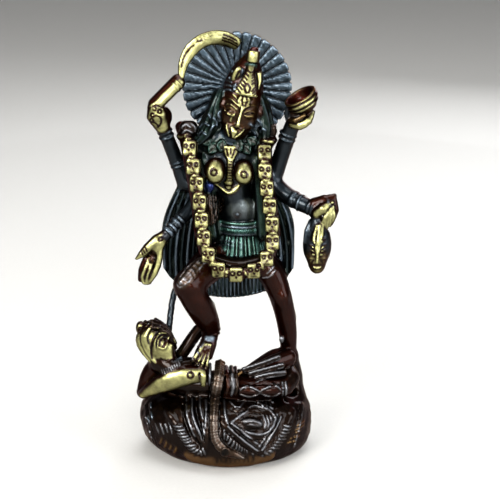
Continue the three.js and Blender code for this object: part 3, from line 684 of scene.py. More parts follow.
def model_lying_head(clay):
    lean = (4, -26, 0)
    axes = turned(lean)
    middle = vector((-31, -10, 56.4))

    def on_face(x, y, z):
        return tuple(middle + axes @ vector((x, y, z)))

    clay.add(
        ball(middle, (7, 7.2, 10.2), "gold", turn=lean, blend=1.5),
        ball(on_face(1.6, -3.6, -6.6), (4.4, 4.2, 4.4), "gold", turn=lean, blend=1.6),
        limb([on_face(-1, 0, -7), (-27, -11, 45)], [4.6, 4.4], "soot", blend=1.2),
        ball((-27.4, -14.4, 55.6), (4.4, 3.2, 5.4), "gold", turn=(0, -20, 0), blend=1.4),
    )
    hair = [
        [(1.8, -3.4, 10.4), (-2.4, -5.2, 8), (-3.9, -6, 2), (-3.6, -6, -4), (-2.2, -5.4, -9.4)],
        [(0, -2, 11), (-4.6, -3.8, 7.6), (-6, -4, 1), (-5.4, -4.4, -5), (-3.8, -4.6, -10.4)],
        [(1.6, -3.2, 10.6), (5.2, -3.4, 8.4), (7.4, -3, 3.6), (8, -2, -2)],
        [(-1, 0, 11), (-6.4, -1, 6), (-7.2, -1, -1), (-5.8, -1.6, -8)],
        [(-1, 4, 10.6), (-6.4, 4, 5), (-6.6, 3.6, -2), (-5, 3, -8)],
        [(3, 0, 11), (6.6, 1, 6), (7, 1, 0), (6, 1, -6)],
        [(1, 5, 9.6), (1, 8, 3), (0, 8, -4), (-1, 6, -9)],
        [(3.6, 4, 9.6), (5.6, 5.6, 3), (4.8, 5.6, -4), (3, 5, -9)],
    ]
    finishes = ["gold", "gold", "soot", "carved_gold"] + ["soot"] * 4
    for line, finish in zip(hair, finishes):
        girths = [1.2, 1.6, 1.6, 1.4, 1]
        clay.add(limb([on_face(*point) for point in line], girths, finish, blend=0.35,
                      relief=strands(3, 0.25, 0.3)))
    clay.add(
        ball((-38.6, -8.8, 63.6), (2.5, 3, 3.7), "gold", turn=(0, -8, 0), blend=0.4),
        ring((-38.6, -11.4, 63.6), (0, -1, 0), 1.5, 0.3, "soot", cut=True),
        ball((-38.6, -11.8, 63.6), (0.8, 0.8, 1.2), "gold", blend=0.1),
        limb([(-35.4, -9, 61), (-36.8, -9, 64)], [1, 1.2], "carved_gold", blend=0.3),
    )
    curl_count = 4
    for i in range(curl_count):
        x, z = -35.8 + 3.3 * i, 68.2 - 0.4 * abs(i - 1)
        strokes(clay, [[(x - 1.2, z - 1.4), (x, z + 0.6), (x + 1.6, z + 0.2)]], 0.5, "gold", sunk=-0.1)
        engraved(clay, [[(x - 0.2, z - 1.8), (x + 1.2, z - 0.6), (x + 2.4, z - 1.2)]], 0.36)
    model_lying_face(clay)


def model_lying_face(clay):
    """The face of the lying figure: a tall eye under arcs, a full cheek, and a hatched collar below."""
    engraved(clay, [
        [(-33.2, 52), (-33.4, 56.6), (-32.4, 61.6), (-29.4, 65.2)],
        [(-29.4, 65.4), (-26.6, 65.6), (-24.2, 63.4), (-22.6, 59.8)],
    ], 0.46)
    strokes(clay, [
        [(-31.8, 55.6), (-31.4, 60.4), (-29.2, 63.6), (-26.6, 63.6)],
        [(-30.6, 57.6), (-29.8, 61.2), (-27.9, 62.2)],
        [(-29.6, 57.4), (-27.6, 56.8), (-26, 58.6), (-25.4, 61.4)],
    ], 0.42, "gold", sunk=-0.15)
    engraved(clay, [
        [(-31.2, 57.6), (-30.6, 61.2), (-28.4, 62.9)],
        [(-29.6, 58.2), (-29.1, 60.6), (-27.8, 61.3)],
        [(-28.2, 57.9), (-27, 59.4), (-26.8, 61.6)],
        [(-28.8, 51.4), (-27, 50.6), (-25.6, 51)],
    ], 0.34)
    strokes(clay, [
        [(-25.2, 64.4), (-23.4, 62), (-22.4, 59)], [(-24.4, 58.8), (-23, 56.4), (-21.8, 55.4)],
        [(-23.4, 61), (-22.2, 58), (-20.8, 56)],
    ], 0.4, "carved_gold", sunk=-0.05)
    collar = [(-30, -13.8, 44.8), (-24.4, -17.4, 47.2), (-19.6, -15.6, 50.2)]
    clay.add(limb(collar, [(1.9, 1.4)] * 3, "indigo", blend=0.3))
    for shift in (-1.9, 1.8):
        edge = [(x, y - 0.2, z + shift) for x, y, z in collar]
        clay.add(limb(edge, [0.55] * 3, "steel", blend=0.2))
    tooth_count = 9
    for i in range(tooth_count):
        x, z = -28.4 + i, 45.5 + 0.52 * i
        clay.stroke([(x - 0.3, z + 1), (x + 0.3, z - 0.8)], 0.34, "silver", sunk=-0.1)


def digits(line, spread, count, radius, finish):
    """Fingers or toes side by side along `spread`, each along the line."""
    forms = []
    for i in range(count):
        side = i - (count - 1) / 2
        points = [
            vector(point) + vector(spread) * side * (1 + 0.1 * row) for row, point in enumerate(line)
        ]
        forms.append(limb(points, [radius, 1.05 * radius, 0.95 * radius, 0.75 * radius], finish,
                          blend=0.25))
        first = points[1] - points[0]
        forms.append(ring(points[0] + 0.25 * first, first, radius, 0.28, finish))
    return forms


def model_legs(clay):
    clay.add(
        limb([(3, 1, 97.6), (-8, -8, 93.4), (-15, -16, 87.6)], [7.8, 8, 6.6], "umber", face=UP,
             blend=2.5),
        limb([(-16, -16.6, 88), (-12.4, -15.8, 80), (-8.8, -13, 72), (-6, -9.6, 65), (-6.2, -8.6, 59.5)],
             [6.6, 6.5, 6, 4.5, 3.5], "umber", blend=2.5),
        ball((-16.6, -20.2, 87.4), (4.4, 3, 4.8), "umber", turn=(20, 10, 0), blend=2.2),
        limb([(-13.4, -21, 83), (-10.4, -20, 76), (-7.6, -16.2, 68), (-6.4, -12.6, 62)],
             [1.4, 1.3, 1.2, 1], "umber", blend=2.2),
        limb([(-11, -10.6, 80), (-7.6, -8, 74), (-5, -6.8, 67)], [3.6, 3.9, 2.4], "umber", blend=2.5),
        limb([(15, 0, 97), (21.4, -0.4, 90), (26, -1, 80), (28.8, 0, 69.7), (30.6, 2.4, 58),
              (31.2, 4.4, 49), (31.6, 5.4, 44)],
             [7.2, 6.6, 5.5, 4.9, 4.4, 3.8, 3.9], "umber", blend=2),
        ball((27.4, -4.6, 77), (3.2, 2.4, 4), "umber", turn=(8, 8, 0), blend=2),
        limb([(28.4, -4.4, 73), (29.8, -2.4, 64), (30.6, 0, 55)], [1.3, 1.2, 1], "umber", blend=2),
        limb([(30, 3.6, 72), (31.6, 5.6, 64), (31.8, 6.2, 56)], [3, 3.2, 2.2], "umber", blend=2.2),
    )
    # A painted highlight: a pale outlined patch where light falls on the top of the thigh, and pale strokes
    # on the other thigh.
    patch = [(-20.6, 90), (-19, 93.2), (-14.6, 97), (-9.6, 99.6), (-8.2, 98.6), (-12.2, 94.4),
             (-16.4, 90.8), (-19.6, 89), (-20.6, 90)]
    clay.stroke(patch, 0.5, "umber_highlight", sunk=-0.1)
    clay.add(limb(clay.traced([(-18.4, 91), (-14.4, 94.6), (-10.6, 98)], 0.7), [1.7, 2.1, 1.5],
                  "umber_highlight", blend=0.6))
    strokes(clay, [[(24.4, 91.6), (21.4, 88.6), (18.4, 87.8)], [(23.8, 93.4), (20.4, 90.2)]], 0.5,
            "umber_highlight")
    clay.add(
        limb([(-6, -8.6, 62), (-7, -11.6, 57.4), (-9, -14.8, 53)], [3.3, (4, 3), (4.4, 2.4)],
             "umber", blend=1.2),
        limb([(-8.6, -13, 54.6), (-11, -15.4, 51.6)], [(3.6, 2.6), (3.2, 2)], "soot", blend=0.8),
        cuff((-5.8, -8.9, 63.6), (0.02, 0.1, 1), 4.4, 1.4, "umber", pitch=9, rise=0.2),
        cuff((-5.9, -9.1, 61.6), (0.02, 0.1, 1), 4.3, 0.9, "umber", pitch=9, rise=0.2),
        # A painted glint on the ankle.
        ball((-6.4, -12.9, 60.2), (2, 1, 1.7), "pearl_highlight", blend=0.4),
    )
    toes = [(-13.9, 51.6), (-12.2, 49.9), (-10.2, 48.6), (-8, 47.6)]
    for i, (x, z) in enumerate(toes):
        root = (-8.6 + 0.95 * i, 58.6 - 0.2 * i)
        line = [(root[0], -14.4, root[1]), (0.5 * (root[0] + x) - 0.2, -16.8, 0.5 * (root[1] + z)),
                (x, -18.5, z)]
        clay.add(limb(line, [0.5, 0.85, 1.1], "gold", blend=0.15))
        if i:
            before = toes[i - 1]
            between = (0.5 * (x + before[0]), 0.5 * (z + before[1]) - 0.4)
            engraved(clay, [[(root[0] - 0.4, root[1] - 1), between]], 0.42)
    for x, z in toes:
        dotted_ring(clay, x, z + 0.3, 0.7)
    strokes(clay, [
        [(-14.2, 52), (-13.6, 54.6), (-11.8, 55.2), (-11.4, 53)], [(-11, 56.6), (-9.4, 58.4), (-8.2, 60)],
        [(-13, 55.4), (-11, 57.8), (-9.6, 60.6)],
    ], 0.42, "silver")
    clay.add(
        limb([(32, 6, 44.6), (25, 1, 46), (17, -4, 43.4), (10.4, -8, 40.6)],
             [(3.6, 3.4), (4.2, 3.4), (4, 2.6), (3.6, 2)], "umber", face=UP, blend=1.5),
        *digits([(13, -7.4, 43), (9.4, -9.6, 42), (6, -11.4, 40.4)], (0.55, 1.5, -0.5), 4, 0.95, "bronze"),
        ball((27.6, -1.8, 55.4), (1.2, 1, 1.8), "silver", blend=0.8),
        limb([(31, -2, 46.4), (24, -7, 45.4), (16, -9.4, 43)], [(4, 3.6), (4.2, 3.6), (3.4, 2.4)], "umber",
             blend=1.5),
    )
    bars = [
        [(9.6, -12, 44), (17.6, -12.2, 47), (26.4, -9.6, 49.6)],
        [(12.4, -13.4, 42.4), (20, -13.6, 44.8), (28, -11.6, 46.4)],
        [(15.2, -14.6, 40.9), (22, -14.8, 42.8), (29, -13, 43)],
    ]
    for bar in bars:
        clay.add(limb(bar, [(1.35, 1.2)] * 3, "soot", blend=0.3))
        double_line(clay, [(x, z) for x, _, z in bar], 1.9, 0.5, "silver")


def model_torso(clay):
    clay.add(
        limb([(6.5, 0, 97), (8, 0.6, 113), (6.8, 1, 121), (4.8, 0.5, 130), (3.2, 0, 141), (3.6, 1, 153)],
             [(13, 8), (9, 7.2), (6.8, 5.8), (8.2, 6.2), (12, 7.2), (12, 4.6)], "indigo", blend=2),
        ball((5.4, -3.2, 127.6), (5.2, 3.4, 5), "indigo", blend=3),
        # A painted sheen: the belly in a paler patina.
        ball((8.4, -3.4, 120.6), (6.2, 3.3, 4.8), "belly_sheen", turn=(0, -12, 0), blend=3),
        limb([(4, 0, 149), (5.6, -2, 160)], [5.2, 4.7], "slate", blend=1.5, relief=rings(2.6, 0.25)),
        *pair(lambda side: limb([(4 + 4 * side, 0, 151.6), (4 + 15.4 * side, 1.2, 151.8)],
                                [(5, 4), (4.4, 4.4)], "indigo", blend=3)),
    )
    clay.add(
        ball((-3.3, -7.4, 140), (4.7, 4.4, 5.7), "gold", blend=0.4),
        ball((-3.3, -9.6, 138.4), (4.3, 3.3, 4.3), "gold", blend=1.4),
        ball((9.7, -7.4, 139.2), (4.7, 4.4, 5.5), "gold", blend=0.4),
        ball((9.7, -9.6, 137.8), (4.3, 3.3, 4.2), "gold", blend=1.4),
    )
    for x, z in ((-3.9, 140.1), (9.9, 139)):
        dotted_ring(clay, x, z, 1.55)
    engraved(clay, [[(8.2, 118.8), (6.8, 119.9), (5.4, 118.8), (6.8, 117.4), (8.2, 118.8)]], 0.3)
    clay.add(ball(clay.front(6.8, 118.6, 0.1), (0.45, 0.4, 0.45), "steel", blend=0.1))
    model_collar(clay)
    clay.add(
        limb(clay.traced([(3.9, 150), (3.8, 147.4), (3.7, 144.4)], -0.3),
             [(3.5, 1), (3, 1.2), (1.6, 1.2)], "gold", blend=0.3),
        limb(clay.traced([(3.6, 144.8), (3.4, 139), (3.1, 133.2)], -0.5), [(1.5, 1.3)] * 3, "gold",
             blend=0.3),
        limb(clay.traced([(2.9, 134), (2.7, 131.4)], -0.4), [(2.2, 1.1), (1.3, 1)], "gold", blend=0.3),
    )
    strokes(clay, [[(-4.4, 133.6), (-1.4, 131.4), (1, 129.6), (2.6, 128.8), (4.8, 129.6), (7.6, 132.4)]],
            0.65, "gold")
    rung_count = 8
    for i in range(rung_count):
        x, z = 3.7 - 0.07 * i, 144 - 1.3 * i
        engraved(clay, [[(x - 0.8, z), (x + 0.8, z)]], 0.27)
    engraved(clay, [
        [(1.9, 149.6), (2.3, 147.4), (3.1, 145.6)], [(5.8, 149.6), (5.2, 147.4), (4.3, 145.6)],
        [(3.8, 149.8), (3.8, 147)], [(1.2, 132.6), (4.4, 132.6)],
    ], 0.3)


def model_collar(clay):
    """Large leaves round the neck, each with a raised rim and a vein."""
    leaves = [(-7.4, 152.8, 62, 3.2), (-4.2, 149.6, 40, 3.8), (-0.2, 150.8, 14, 3.4), (7.4, 151, -16, 3.4),
              (10.8, 149.4, -38, 3.8), (13.6, 152.8, -62, 3.2)]
    for x, z, lean, length in leaves:
        place = clay.front(x, z, 0.3)
        if place is None:
            continue
        clay.add(ball(place, (2.5, 1.4, length), "leaf", turn=(-14, lean, 0), blend=0.25))
        a = math.radians(lean)
        root = (x + 0.8 * length * math.sin(a), z + 0.8 * length * math.cos(a))
        tip = (x - 0.8 * length * math.sin(a), z - 0.8 * length * math.cos(a))
        across = (2.2 * math.cos(a), -2.2 * math.sin(a))
        engraved(clay, [[root, tip]], 0.3)
        for side in (-1, 1):
            rim = (x + side * across[0], z + side * across[1])
            clay.stroke([root, rim, tip], 0.4, "leaf")


GIRDLE_CENTRE = (8.4, 1.0)
GIRDLE_SQUASH = 0.94  # its depth as a share of its width
GIRDLE_BACK = 8.4  # the loose hair lies against the girdle behind


def hoop(level, radius, thickness, finish, *, relief=None):
    """A level ring of the girdle, narrower from front to back than across, that ends at the hair."""
    centre = vector((*GIRDLE_CENTRE, level)) * UNIT

    def distance(x, y, z):
        behind = y - GIRDLE_BACK * UNIT
        x, y, z = x - centre[0], (y - centre[1]) / GIRDLE_SQUASH, z - centre[2]
        across = np.sqrt(x * x + y * y)
        found = np.sqrt((across - radius * UNIT) ** 2 + z * z) - thickness * UNIT
        if relief is not None:
            found = found - relief(np.arctan2(y, x) + 0 * z)
        return np.maximum(found, behind)

    reach = vector([radius + thickness, (radius + thickness) * GIRDLE_SQUASH, thickness]) * UNIT + 0.6
    return Form(Part(distance, centre - reach, centre + reach), finish, blend=0.2)


def girdle_place(angle, radius, z):
    a = math.radians(angle)
    x = GIRDLE_CENTRE[0] + radius * math.sin(a)
    return (x, GIRDLE_CENTRE[1] - GIRDLE_SQUASH * radius * math.cos(a), z)


def skirt(strip_pairs):
    """Strips, a wide one and a narrow one by turns, that hang from the belt and flare to the hips."""
    outline = turned_outline([(0, 96.8), (13.4, 96.8), (10.0, 110), (10.4, 114.6), (0, 114.6)])

    def distance(x, y, z):
        x, y, z = x / UNIT, y / UNIT, z / UNIT
        dx, dy = x - GIRDLE_CENTRE[0], (y - GIRDLE_CENTRE[1]) / GIRDLE_SQUASH
        turn = np.mod(np.arctan2(dx, -dy) / (2 * math.pi) * strip_pairs + 0.31, 1.0)
        gap = np.minimum(np.abs(turn - 0.02), np.abs(turn - 0.64))
        gap = np.minimum(gap, np.abs(turn - 1.02))
        groove = 1.5 * np.exp(-(gap / 0.075) ** 2) * np.clip((110.4 - z) / 0.8, 0, 1)
        hem = 0.7 * np.cos(2 * math.pi * (turn - 0.33)) * np.clip((99 - z) / 3, 0, 1)
        found = outline(np.sqrt(dx * dx + dy * dy), z - hem)
        return np.maximum((found + groove) * UNIT, (y - GIRDLE_BACK) * UNIT)

    low = vector([GIRDLE_CENTRE[0] - 15, GIRDLE_CENTRE[1] - 15, 95]) * UNIT
    high = vector([GIRDLE_CENTRE[0] + 15, GIRDLE_BACK + 1, 116]) * UNIT
    return Form(Part(distance, low, high), "teal", blend=0.4)


def model_girdle(clay, strip_pairs):
    clay.add(skirt(strip_pairs))
    for z, radius, thickness, finish in ((114.6, 10.2, 0.75, "teal"), (113, 10.6, 0.6, "steel"),
                                         (109.6, 10.4, 0.75, "steel")):
        clay.add(hoop(z, radius, thickness, finish))
    hatch_count = 72
    clay.add(hoop(111.2, 9.9, 1.35, "teal", relief=lambda angle: 0.22 * np.cos(hatch_count * angle)))
    dash_count, bead_count = 9, 10
    for i in range(dash_count):
        for level in (106.2, 104.6):
            x, _, z = girdle_place(-74 + 9.2 * i, 10.8, level - 0.25 * abs(i - 4))
            clay.stroke([(x - 0.6, z), (x + 0.6, z)], 0.3, "steel")
    for i in range(bead_count):
        x, _, z = girdle_place(-78 + 17.3 * i, 12.6, 99.4)
        clay.add(ball(clay.front(x, z, 0.2), (0.7, 0.6, 0.7), "steel", blend=0.1))


FAN_FOOT = (2.4, 9.0, 73.5)
FAN_TOP = (2.4, 6.0, 154.0)
FAN_HALF = 31.0
FAN_SHOULDER = 0.62  # the half width at the shoulders as a share of FAN_HALF
FAN_WAIST, FAN_NECK = 0.22, 0.85  # shares of the height between which it narrows
FAN_CURL = 5.0  # how far the sides come forward
FAN_RISE = 22.0  # how far the sides of the foot rise


def fan_half(up):
    """Half width of the loose hair at a share of its height."""
    return FAN_HALF * (1 + (FAN_SHOULDER - 1) * eased(FAN_WAIST, FAN_NECK, up))


def fan_foot(across):
    """Height of the foot of the loose hair, which is round: highest at the sides."""
    return FAN_FOOT[2] + FAN_RISE * (1 - np.sqrt(np.maximum(1 - 0.97 * across**2, 0.0004)))


def fan_depth(across, up):
    """How far back the middle of the sheet of hair lies."""
    return FAN_FOOT[1] + (FAN_TOP[1] - FAN_FOOT[1]) * up - FAN_CURL * across**2


def fan_share(x, z):
    """How far a place on the loose hair lies across it, from -1 to 1, and up it, from 0 to 1."""
    up = np.clip((z - FAN_FOOT[2]) / (FAN_TOP[2] - FAN_FOOT[2]), 0, 1)
    rounds = 2  # the foot depends on how far across the place lies, and that on how far up
    for _ in range(rounds):
        half = fan_half(up)
        across = (x - FAN_FOOT[0]) / half
        foot = fan_foot(across)
        up = (z - foot) / (FAN_TOP[2] - foot)
    return across, up, half, foot


def hair_sheet(strand_count):
    """Loose hair that spreads behind the body in a sheet of strands, round at its foot."""

    def distance(x, y, z):
        x, y, z = x / UNIT, y / UNIT, z / UNIT
        across, up, half, foot = fan_share(x, z)
        middle = fan_depth(np.clip(across, -1.1, 1.1), np.clip(up, 0, 1))
        wave = 0.12 * np.sin(9 * up + 2.4 * across)
        turn = strand_count / 2 * (across + 0.02 * np.sin(16 * up)) + wave
        ridge = np.abs(np.sin(math.pi * turn))
        fine = np.cos(4 * math.pi * turn)
        broad = np.abs(np.sin(0.5 * math.pi * turn))
        rise = np.where(y < middle, 0.75 * (ridge - 0.6) + 0.1 * fine, 0.5 * (broad - 0.6))
        thick = 1.9 - 0.5 * np.clip((0.12 - up) / 0.12, 0, 1)
        sheet = np.abs(y - middle) - thick - rise
        edge = np.maximum((np.abs(across) - 1) * half, (foot - z) / (1 + 0.5 * np.abs(across)))
        edge = np.maximum(edge, z - FAN_TOP[2])
        return (rounded(sheet, edge + 1) - np.where(edge > -1, 1, 0)) * 0.85 * UNIT

    low = vector([FAN_FOOT[0] - FAN_HALF - 2, 0, FAN_FOOT[2] - 2]) * UNIT
    high = vector([FAN_FOOT[0] + FAN_HALF + 2, 13, FAN_TOP[2] + 1]) * UNIT
    return Form(Part(distance, low, high), "hair", blend=0.5)


def on_fan(across, up):
    """A point in the middle of the sheet of hair."""
    foot = fan_foot(across)
    x, z = FAN_FOOT[0] + across * fan_half(up), foot + (FAN_TOP[2] - foot) * up
    return vector([x, fan_depth(across, up), z])


def model_hair(clay, strand_count):
    clay.add(hair_sheet(strand_count))
    ridge_count = 6
    for side in (-1, 1):
        for i in range(ridge_count):
            across = side * (0.97 - 0.085 * i)
            levels = (0.02, 0.2, 0.4, 0.58, 0.72 - 0.02 * i)
            line = [on_fan(across, up) - vector((0, 2.4, 0)) for up in levels]
            clay.add(limb(line, [0.7, 0.8, 0.75, 0.6, 0.4], "slate" if i % 2 == 0 else "hair", blend=0.35))
    foot_strand_count = 22
    for i in range(foot_strand_count):
        across = -0.62 + 1.24 * i / (foot_strand_count - 1)
        low, high = on_fan(across, 0.015), on_fan(across, 0.15)
        clay.stroke([(low[0], low[2]), (high[0], high[2])], 0.45, "slate", sunk=-0.1)
    leaf = on_fan(-0.86, 0.5) - vector((0, 2.2, 0))
    clay.add(ball(leaf, (1.6, 1, 3), "steel", turn=(0, -22, 0), blend=0.3))
    clay.add(*pair(lambda side: limb(
        [(8 + 5.4 * side, 3, 170), (6 + 9.8 * side, 3, 160), (4 + 12.8 * side, 2.4, 151)],
        [6, 6, 5], "hair", blend=1.5,
    )))


GARLAND_ROUTE = [
    (-17.6, 1.6, 157.4), (-15.6, -5, 153.3), (-13.6, -9.5, 144.5), (-11.4, -12, 133), (-10, -13.4, 123.6),
    (-8.8, -15.6, 112), (-6.6, -18, 103.6), (-1.6, -20, 96.6), (7.4, -20.6, 94.6), (16, -19, 97),
    (21, -16.8, 102.6), (22.9, -15, 110), (22, -13.4, 120.5), (20.2, -11.4, 132), (19.2, -9.4, 142),
    (19.4, -5.4, 150.6), (21.6, 1.6, 155.4),
]
SKULL_RADIUS = 3.7
SKULL_WIDTH = 3.3
SKULL_DEPTH = 2.5


def spaced(points, count):
    """`count` + 1 points at even distances along a smooth curve, and the direction at each."""
    places, _ = smooth_curve(points, 0.4)
    runs = np.concatenate([[0], np.cumsum([math.dist(a, b) for a, b in zip(places, places[1:])])])
    found = []
    for i in range(count + 1):
        j = min(int(np.searchsorted(runs, runs[-1] * i / count)), len(places) - 1)
        found.append((places[j], unit(places[min(j + 1, len(places) - 1)] - places[max(j - 1, 0)])))
    return found


def skull_bead(centre, along):
    """A flat-faced skull on the cord, its crown up the figure."""
    front = unit(vector(FRONT) - along * np.dot(FRONT, along))
    up = unit(vector(UP) - front * np.dot(UP, front))
    side = np.cross(front, up)
    face = SKULL_DEPTH / SKULL_RADIUS

    def on_bead(a, b, c):
        return centre + SKULL_RADIUS * (a * side + b * front + c * up)

    forms = [block(centre, (side, front, up), (SKULL_WIDTH, SKULL_DEPTH, SKULL_RADIUS), 1.3, "gold",
                   blend=0.4)]
    for tilt in (-1, 1):
        eye = on_bead(0.43 * tilt, face + 0.02, 0.2)
        forms.append(ring(eye, front, 0.86, 0.33, "hollow", cut=True, blend=0.15))
        forms.append(ball(eye, (0.4, 0.4, 0.4), "gold", blend=0.1))
        forms.append(ball(on_bead(1.12 * tilt, face + 0.1, -0.8), (1.1, 1.5, 1.2), "umber", cut=True,
                          blend=0.4))
    forms.append(ball(on_bead(0, face + 0.06, -0.3), (0.4, 0.5, 0.5), "hollow", cut=True, blend=0.15))
    forms.append(limb([on_bead(-0.3, face + 0.05, -0.72), on_bead(0.3, face + 0.05, -0.72)], [0.28, 0.28],
                      "hollow", cut=True, blend=0.15))
    return forms


def model_garland(clay, skull_count):
    flank = [(x - 1.5, y + 2.6, z) for x, y, z in GARLAND_ROUTE[:7]]
    other = [(x + 0.9, y + 2.6, z) for x, y, z in GARLAND_ROUTE[10:]]
    clay.add(
        limb([(-8.8, -0.6, 143), (-7, -2.6, 126), (-5.4, -5, 109)], [3.4, (3.6, 4), (4, 4.4)], "hair",
             blend=2.5, relief=strands(6, 0.35, 0.1)),
        limb([(17, -1, 143), (18, -3, 126), (18.6, -5.4, 109)], [3.2, (3.4, 4), (3.4, 4.2)], "hair",
             blend=2.5, relief=strands(6, 0.35, 0.1)),
        limb([(-3, -10.6, 97), (7, -13, 94.6), (17, -10.6, 97)], [3.6, 5, 3.6], "soot", blend=1),
        # The left flank in dark red: a painted red reflection.
        limb(flank, [2.7] * 3, "lacquer", blend=0.6),
        limb(other, [2.6] * 3, "umber", blend=0.6),
    )
    clay.add(ball(clay.front(-6.2, 131.4, 0.2), (2.4, 1.2, 2.6), "lapis", blend=0.3))
    hair_stroke_count = 8
    for i in range(hair_stroke_count):
        x = -7.4 + 1.05 * i
        clay.stroke([(x, 128.4 - 0.4 * i), (x + 0.3, 121), (x - 0.1 * i, 113.6 + 0.4 * i)], 0.5, "soot",
                    sunk=-0.15)
    clay.add(limb(GARLAND_ROUTE, [2.2] * 3, "umber", blend=0.6))
    stations = spaced(GARLAND_ROUTE, 2 * skull_count)
    for i, (place, along) in enumerate(stations):
        if i % 2 == 0:
            clay.add(cuff(place, along, 2.7, 1.5, "carved_gold", pitch=0.9, rise=0.15))
        else:
            clay.add(*skull_bead(place, along))
    level = (vector(ACROSS), vector(FRONT), vector(UP))
    clay.add(
        block((-15.4, -2.4, 158.2), level, (4.1, 3.4, 3.4), 2.8, "soot", blend=0.8),
        block((21.2, -0.6, 157.2), level, (3.4, 3.2, 2.6), 1.4, "soot", blend=0.5),
        band((20.5, -4.6, 152.9), (0.12, 0.1, 1), 3.5, 1.5, "gold"),
    )
    strokes(clay, [
        [(-18.6, 159), (-16.6, 160.6), (-14.4, 159.4)], [(-18.2, 156.6), (-16, 158), (-13.6, 156.8)],
        [(-14, 160.8), (-12.4, 159.4), (-12, 157.2)],
    ], 0.42, "silver", sunk=-0.1)


def model_arms(clay):
    clay.add(
        limb([(-12, 1, 131), (-17, 1.4, 131.6), (-20.2, 1, 139.5), (-23, -1, 147.6), (-28, -5.4, 162)],
             [3.6, 3.7, 3.4, 3.3, 2.9], "indigo", blend=1.5),
        limb([(17, 1, 133), (23.2, 1.4, 134.6), (26, 1, 142), (28.4, -0.2, 149.5), (32.2, -3.2, 161)],
             [3.6, 3.8, 3.8, 3.7, 3.4], "indigo", blend=1.5),
        limb([(-8, 1, 134), (-11.6, 0, 124.6), (-16.6, -4.4, 118.6), (-21.6, -8.4, 114.6),
              (-26.4, -12, 109.8)],
             [4.4, 3.7, 3.1, 2.9, 2.3], "indigo", blend=1.5),
        limb([(18, 1, 137), (24, 0.5, 131), (29.6, -2, 126.6), (37, -7, 123.6), (42.6, -10.5, 121.8)],
             [4.6, 4.1, 3.9, 3.7, 3.3], "indigo", blend=1.5),
    )
    # each pair of bands: where the first is, how far on the second is, the way of the arm, radius, length
    band_pairs = [
        ((-25.4, -3.4, 154.8), (-0.7, -0.5, 2.4), (-0.3, -0.3, 1), 3.5, 1.1),
        ((29.4, -1, 153.2), (0.6, -0.5, 2.2), (0.32, -0.18, 1), 4.1, 1),
        ((-20.4, 0.8, 140.4), (-0.5, -0.3, 1.8), (-0.3, -0.15, 1), 3.8, 0.9),
        ((40.2, -8.8, 122.8), (1.6, -0.9, -0.6), (0.85, -0.5, -0.25), 3.9, 0.9),
    ]
    for place, step, along, radius, length in band_pairs:
        for share in (0, 1):
            clay.add(band(vector(place) + share * vector(step), along, radius, length, "indigo"))
    wrist_bands = [
        ((-24.9, -11.1, 111.5), 3.2, 1.7), ((-23.1, -9.7, 113.1), 3.3, 1.3),
        ((-21.2, -8.1, 114.9), 3.3, 1.5), ((-19.6, -6.8, 116.1), 3.3, 0.9),
    ]
    for place, radius, length in wrist_bands:
        clay.add(band(place, (-0.65, -0.45, -0.6), radius, length, "steel"))
    for place, length in (((32.8, -4.2, 125.2), 2), ((35.8, -6.2, 124.1), 0.9)):
        clay.add(cuff(place, (0.85, -0.5, -0.25), 4.1, length, "steel", pitch=0.9, rise=0.12))


def model_sword_hand(clay):
    clay.add(*model_sword_hilt())
    clay.add(
        limb([(-29.8, -6.4, 168.4), (-29.2, -6.6, 165), (-27, -5.4, 159.8)],
             [(3.9, 3.5), (4.9, 4.1), (3.6, 3.4)], "gold", blend=0.6),
        ball((-27.6, -4.2, 163.4), (4.9, 3.8, 5.6), "umber", turn=(0, 20, 0), blend=0.6),
    )
    for x, z in ((-30.2, 168.6), (-27.8, 167.4), (-31.2, 165.8), (-31.6, 163.2)):
        dotted_ring(clay, x, z, 0.85)
    engraved(clay, [
        [(-32.6, 168.6), (-29.6, 170.2), (-26.6, 168.8)],
        [(-29.6, 165.8), (-27.6, 164.8), (-27.2, 162.4), (-28.4, 160.4)],
        [(-30.4, 162.4), (-29, 161.2), (-28.8, 159.6)],
    ], 0.3)


def model_sword_hilt():
    along = (0.72, 0.24, 0.65)
    return [
        limb([(-30.6, -6.2, 170.4), (-20.2, -2.8, 180.4)], [2.6, 2.6], "umber", blend=0.4),
        limb([(-30, -7.4, 169), (-19.2, -3.8, 179.2)], [2.7, 2.7], "gold", blend=0.3),
        band((-20.9, -4.3, 177.6), along, 3, 0.7, "gold"),
        band((-19.5, -3.9, 178.9), along, 3, 0.7, "gold"),
    ]


BLADE_LINE = [
    (-18.4, -3.4, 180.6), (-17.4, -2.4, 187), (-14.4, -1, 192.8), (-9.4, 0, 197.2), (-4.2, 2, 198.6),
    (1.4, 5, 197.8), (6.8, 8.4, 194.8),
]
BLADE_HALVES = [1.3, 2.3, 3.07, 3.2, 3.33, 3.5, 3.0]
BLADE_HALF_THICKNESS = 1.25


def blade_grooves(run, angle, share):
    """Two long grooves near the outer edge."""
    across = np.sin(angle)
    ends = np.clip(share / 0.06, 0, 1) * np.clip((0.97 - share) / 0.04, 0, 1)
    grooves = sum(0.3 * np.exp(-((across - place) / 0.055) ** 2) for place in (-0.42, -0.68))
    return -ends * grooves


def model_sword(clay):
    girths = [(half, BLADE_HALF_THICKNESS) for half in BLADE_HALVES]
    clay.add(limb(BLADE_LINE, girths, "gold", blend=0.3, pitch=1.2, relief=blade_grooves))
    for shift in (-1.5, 0, 1.5):
        line = [(0.4 + 0.3 * shift, 198.6 + 0.8 * shift), (3.6, 197.2 + 0.9 * shift),
                (7, 195 + 0.9 * shift)]
        clay.stroke(line, 0.2, "soot", cut=True)
    engraved(clay, [[(-18.2, 186.2), (-17.4, 189.2), (-15.6, 192.8), (-12.6, 195.8)],
                    [(-10.8, 197.2), (-7.4, 198.6)]], 0.2)


BOWL_RIM = (34.78, -5.98, 173.96)
BOWL_AXIS = (-0.48, -0.18, 0.86)
BOWL_RADIUS = 7.4
BOWL_DEPTH = 8.8
BOWL_WALL = 1.1


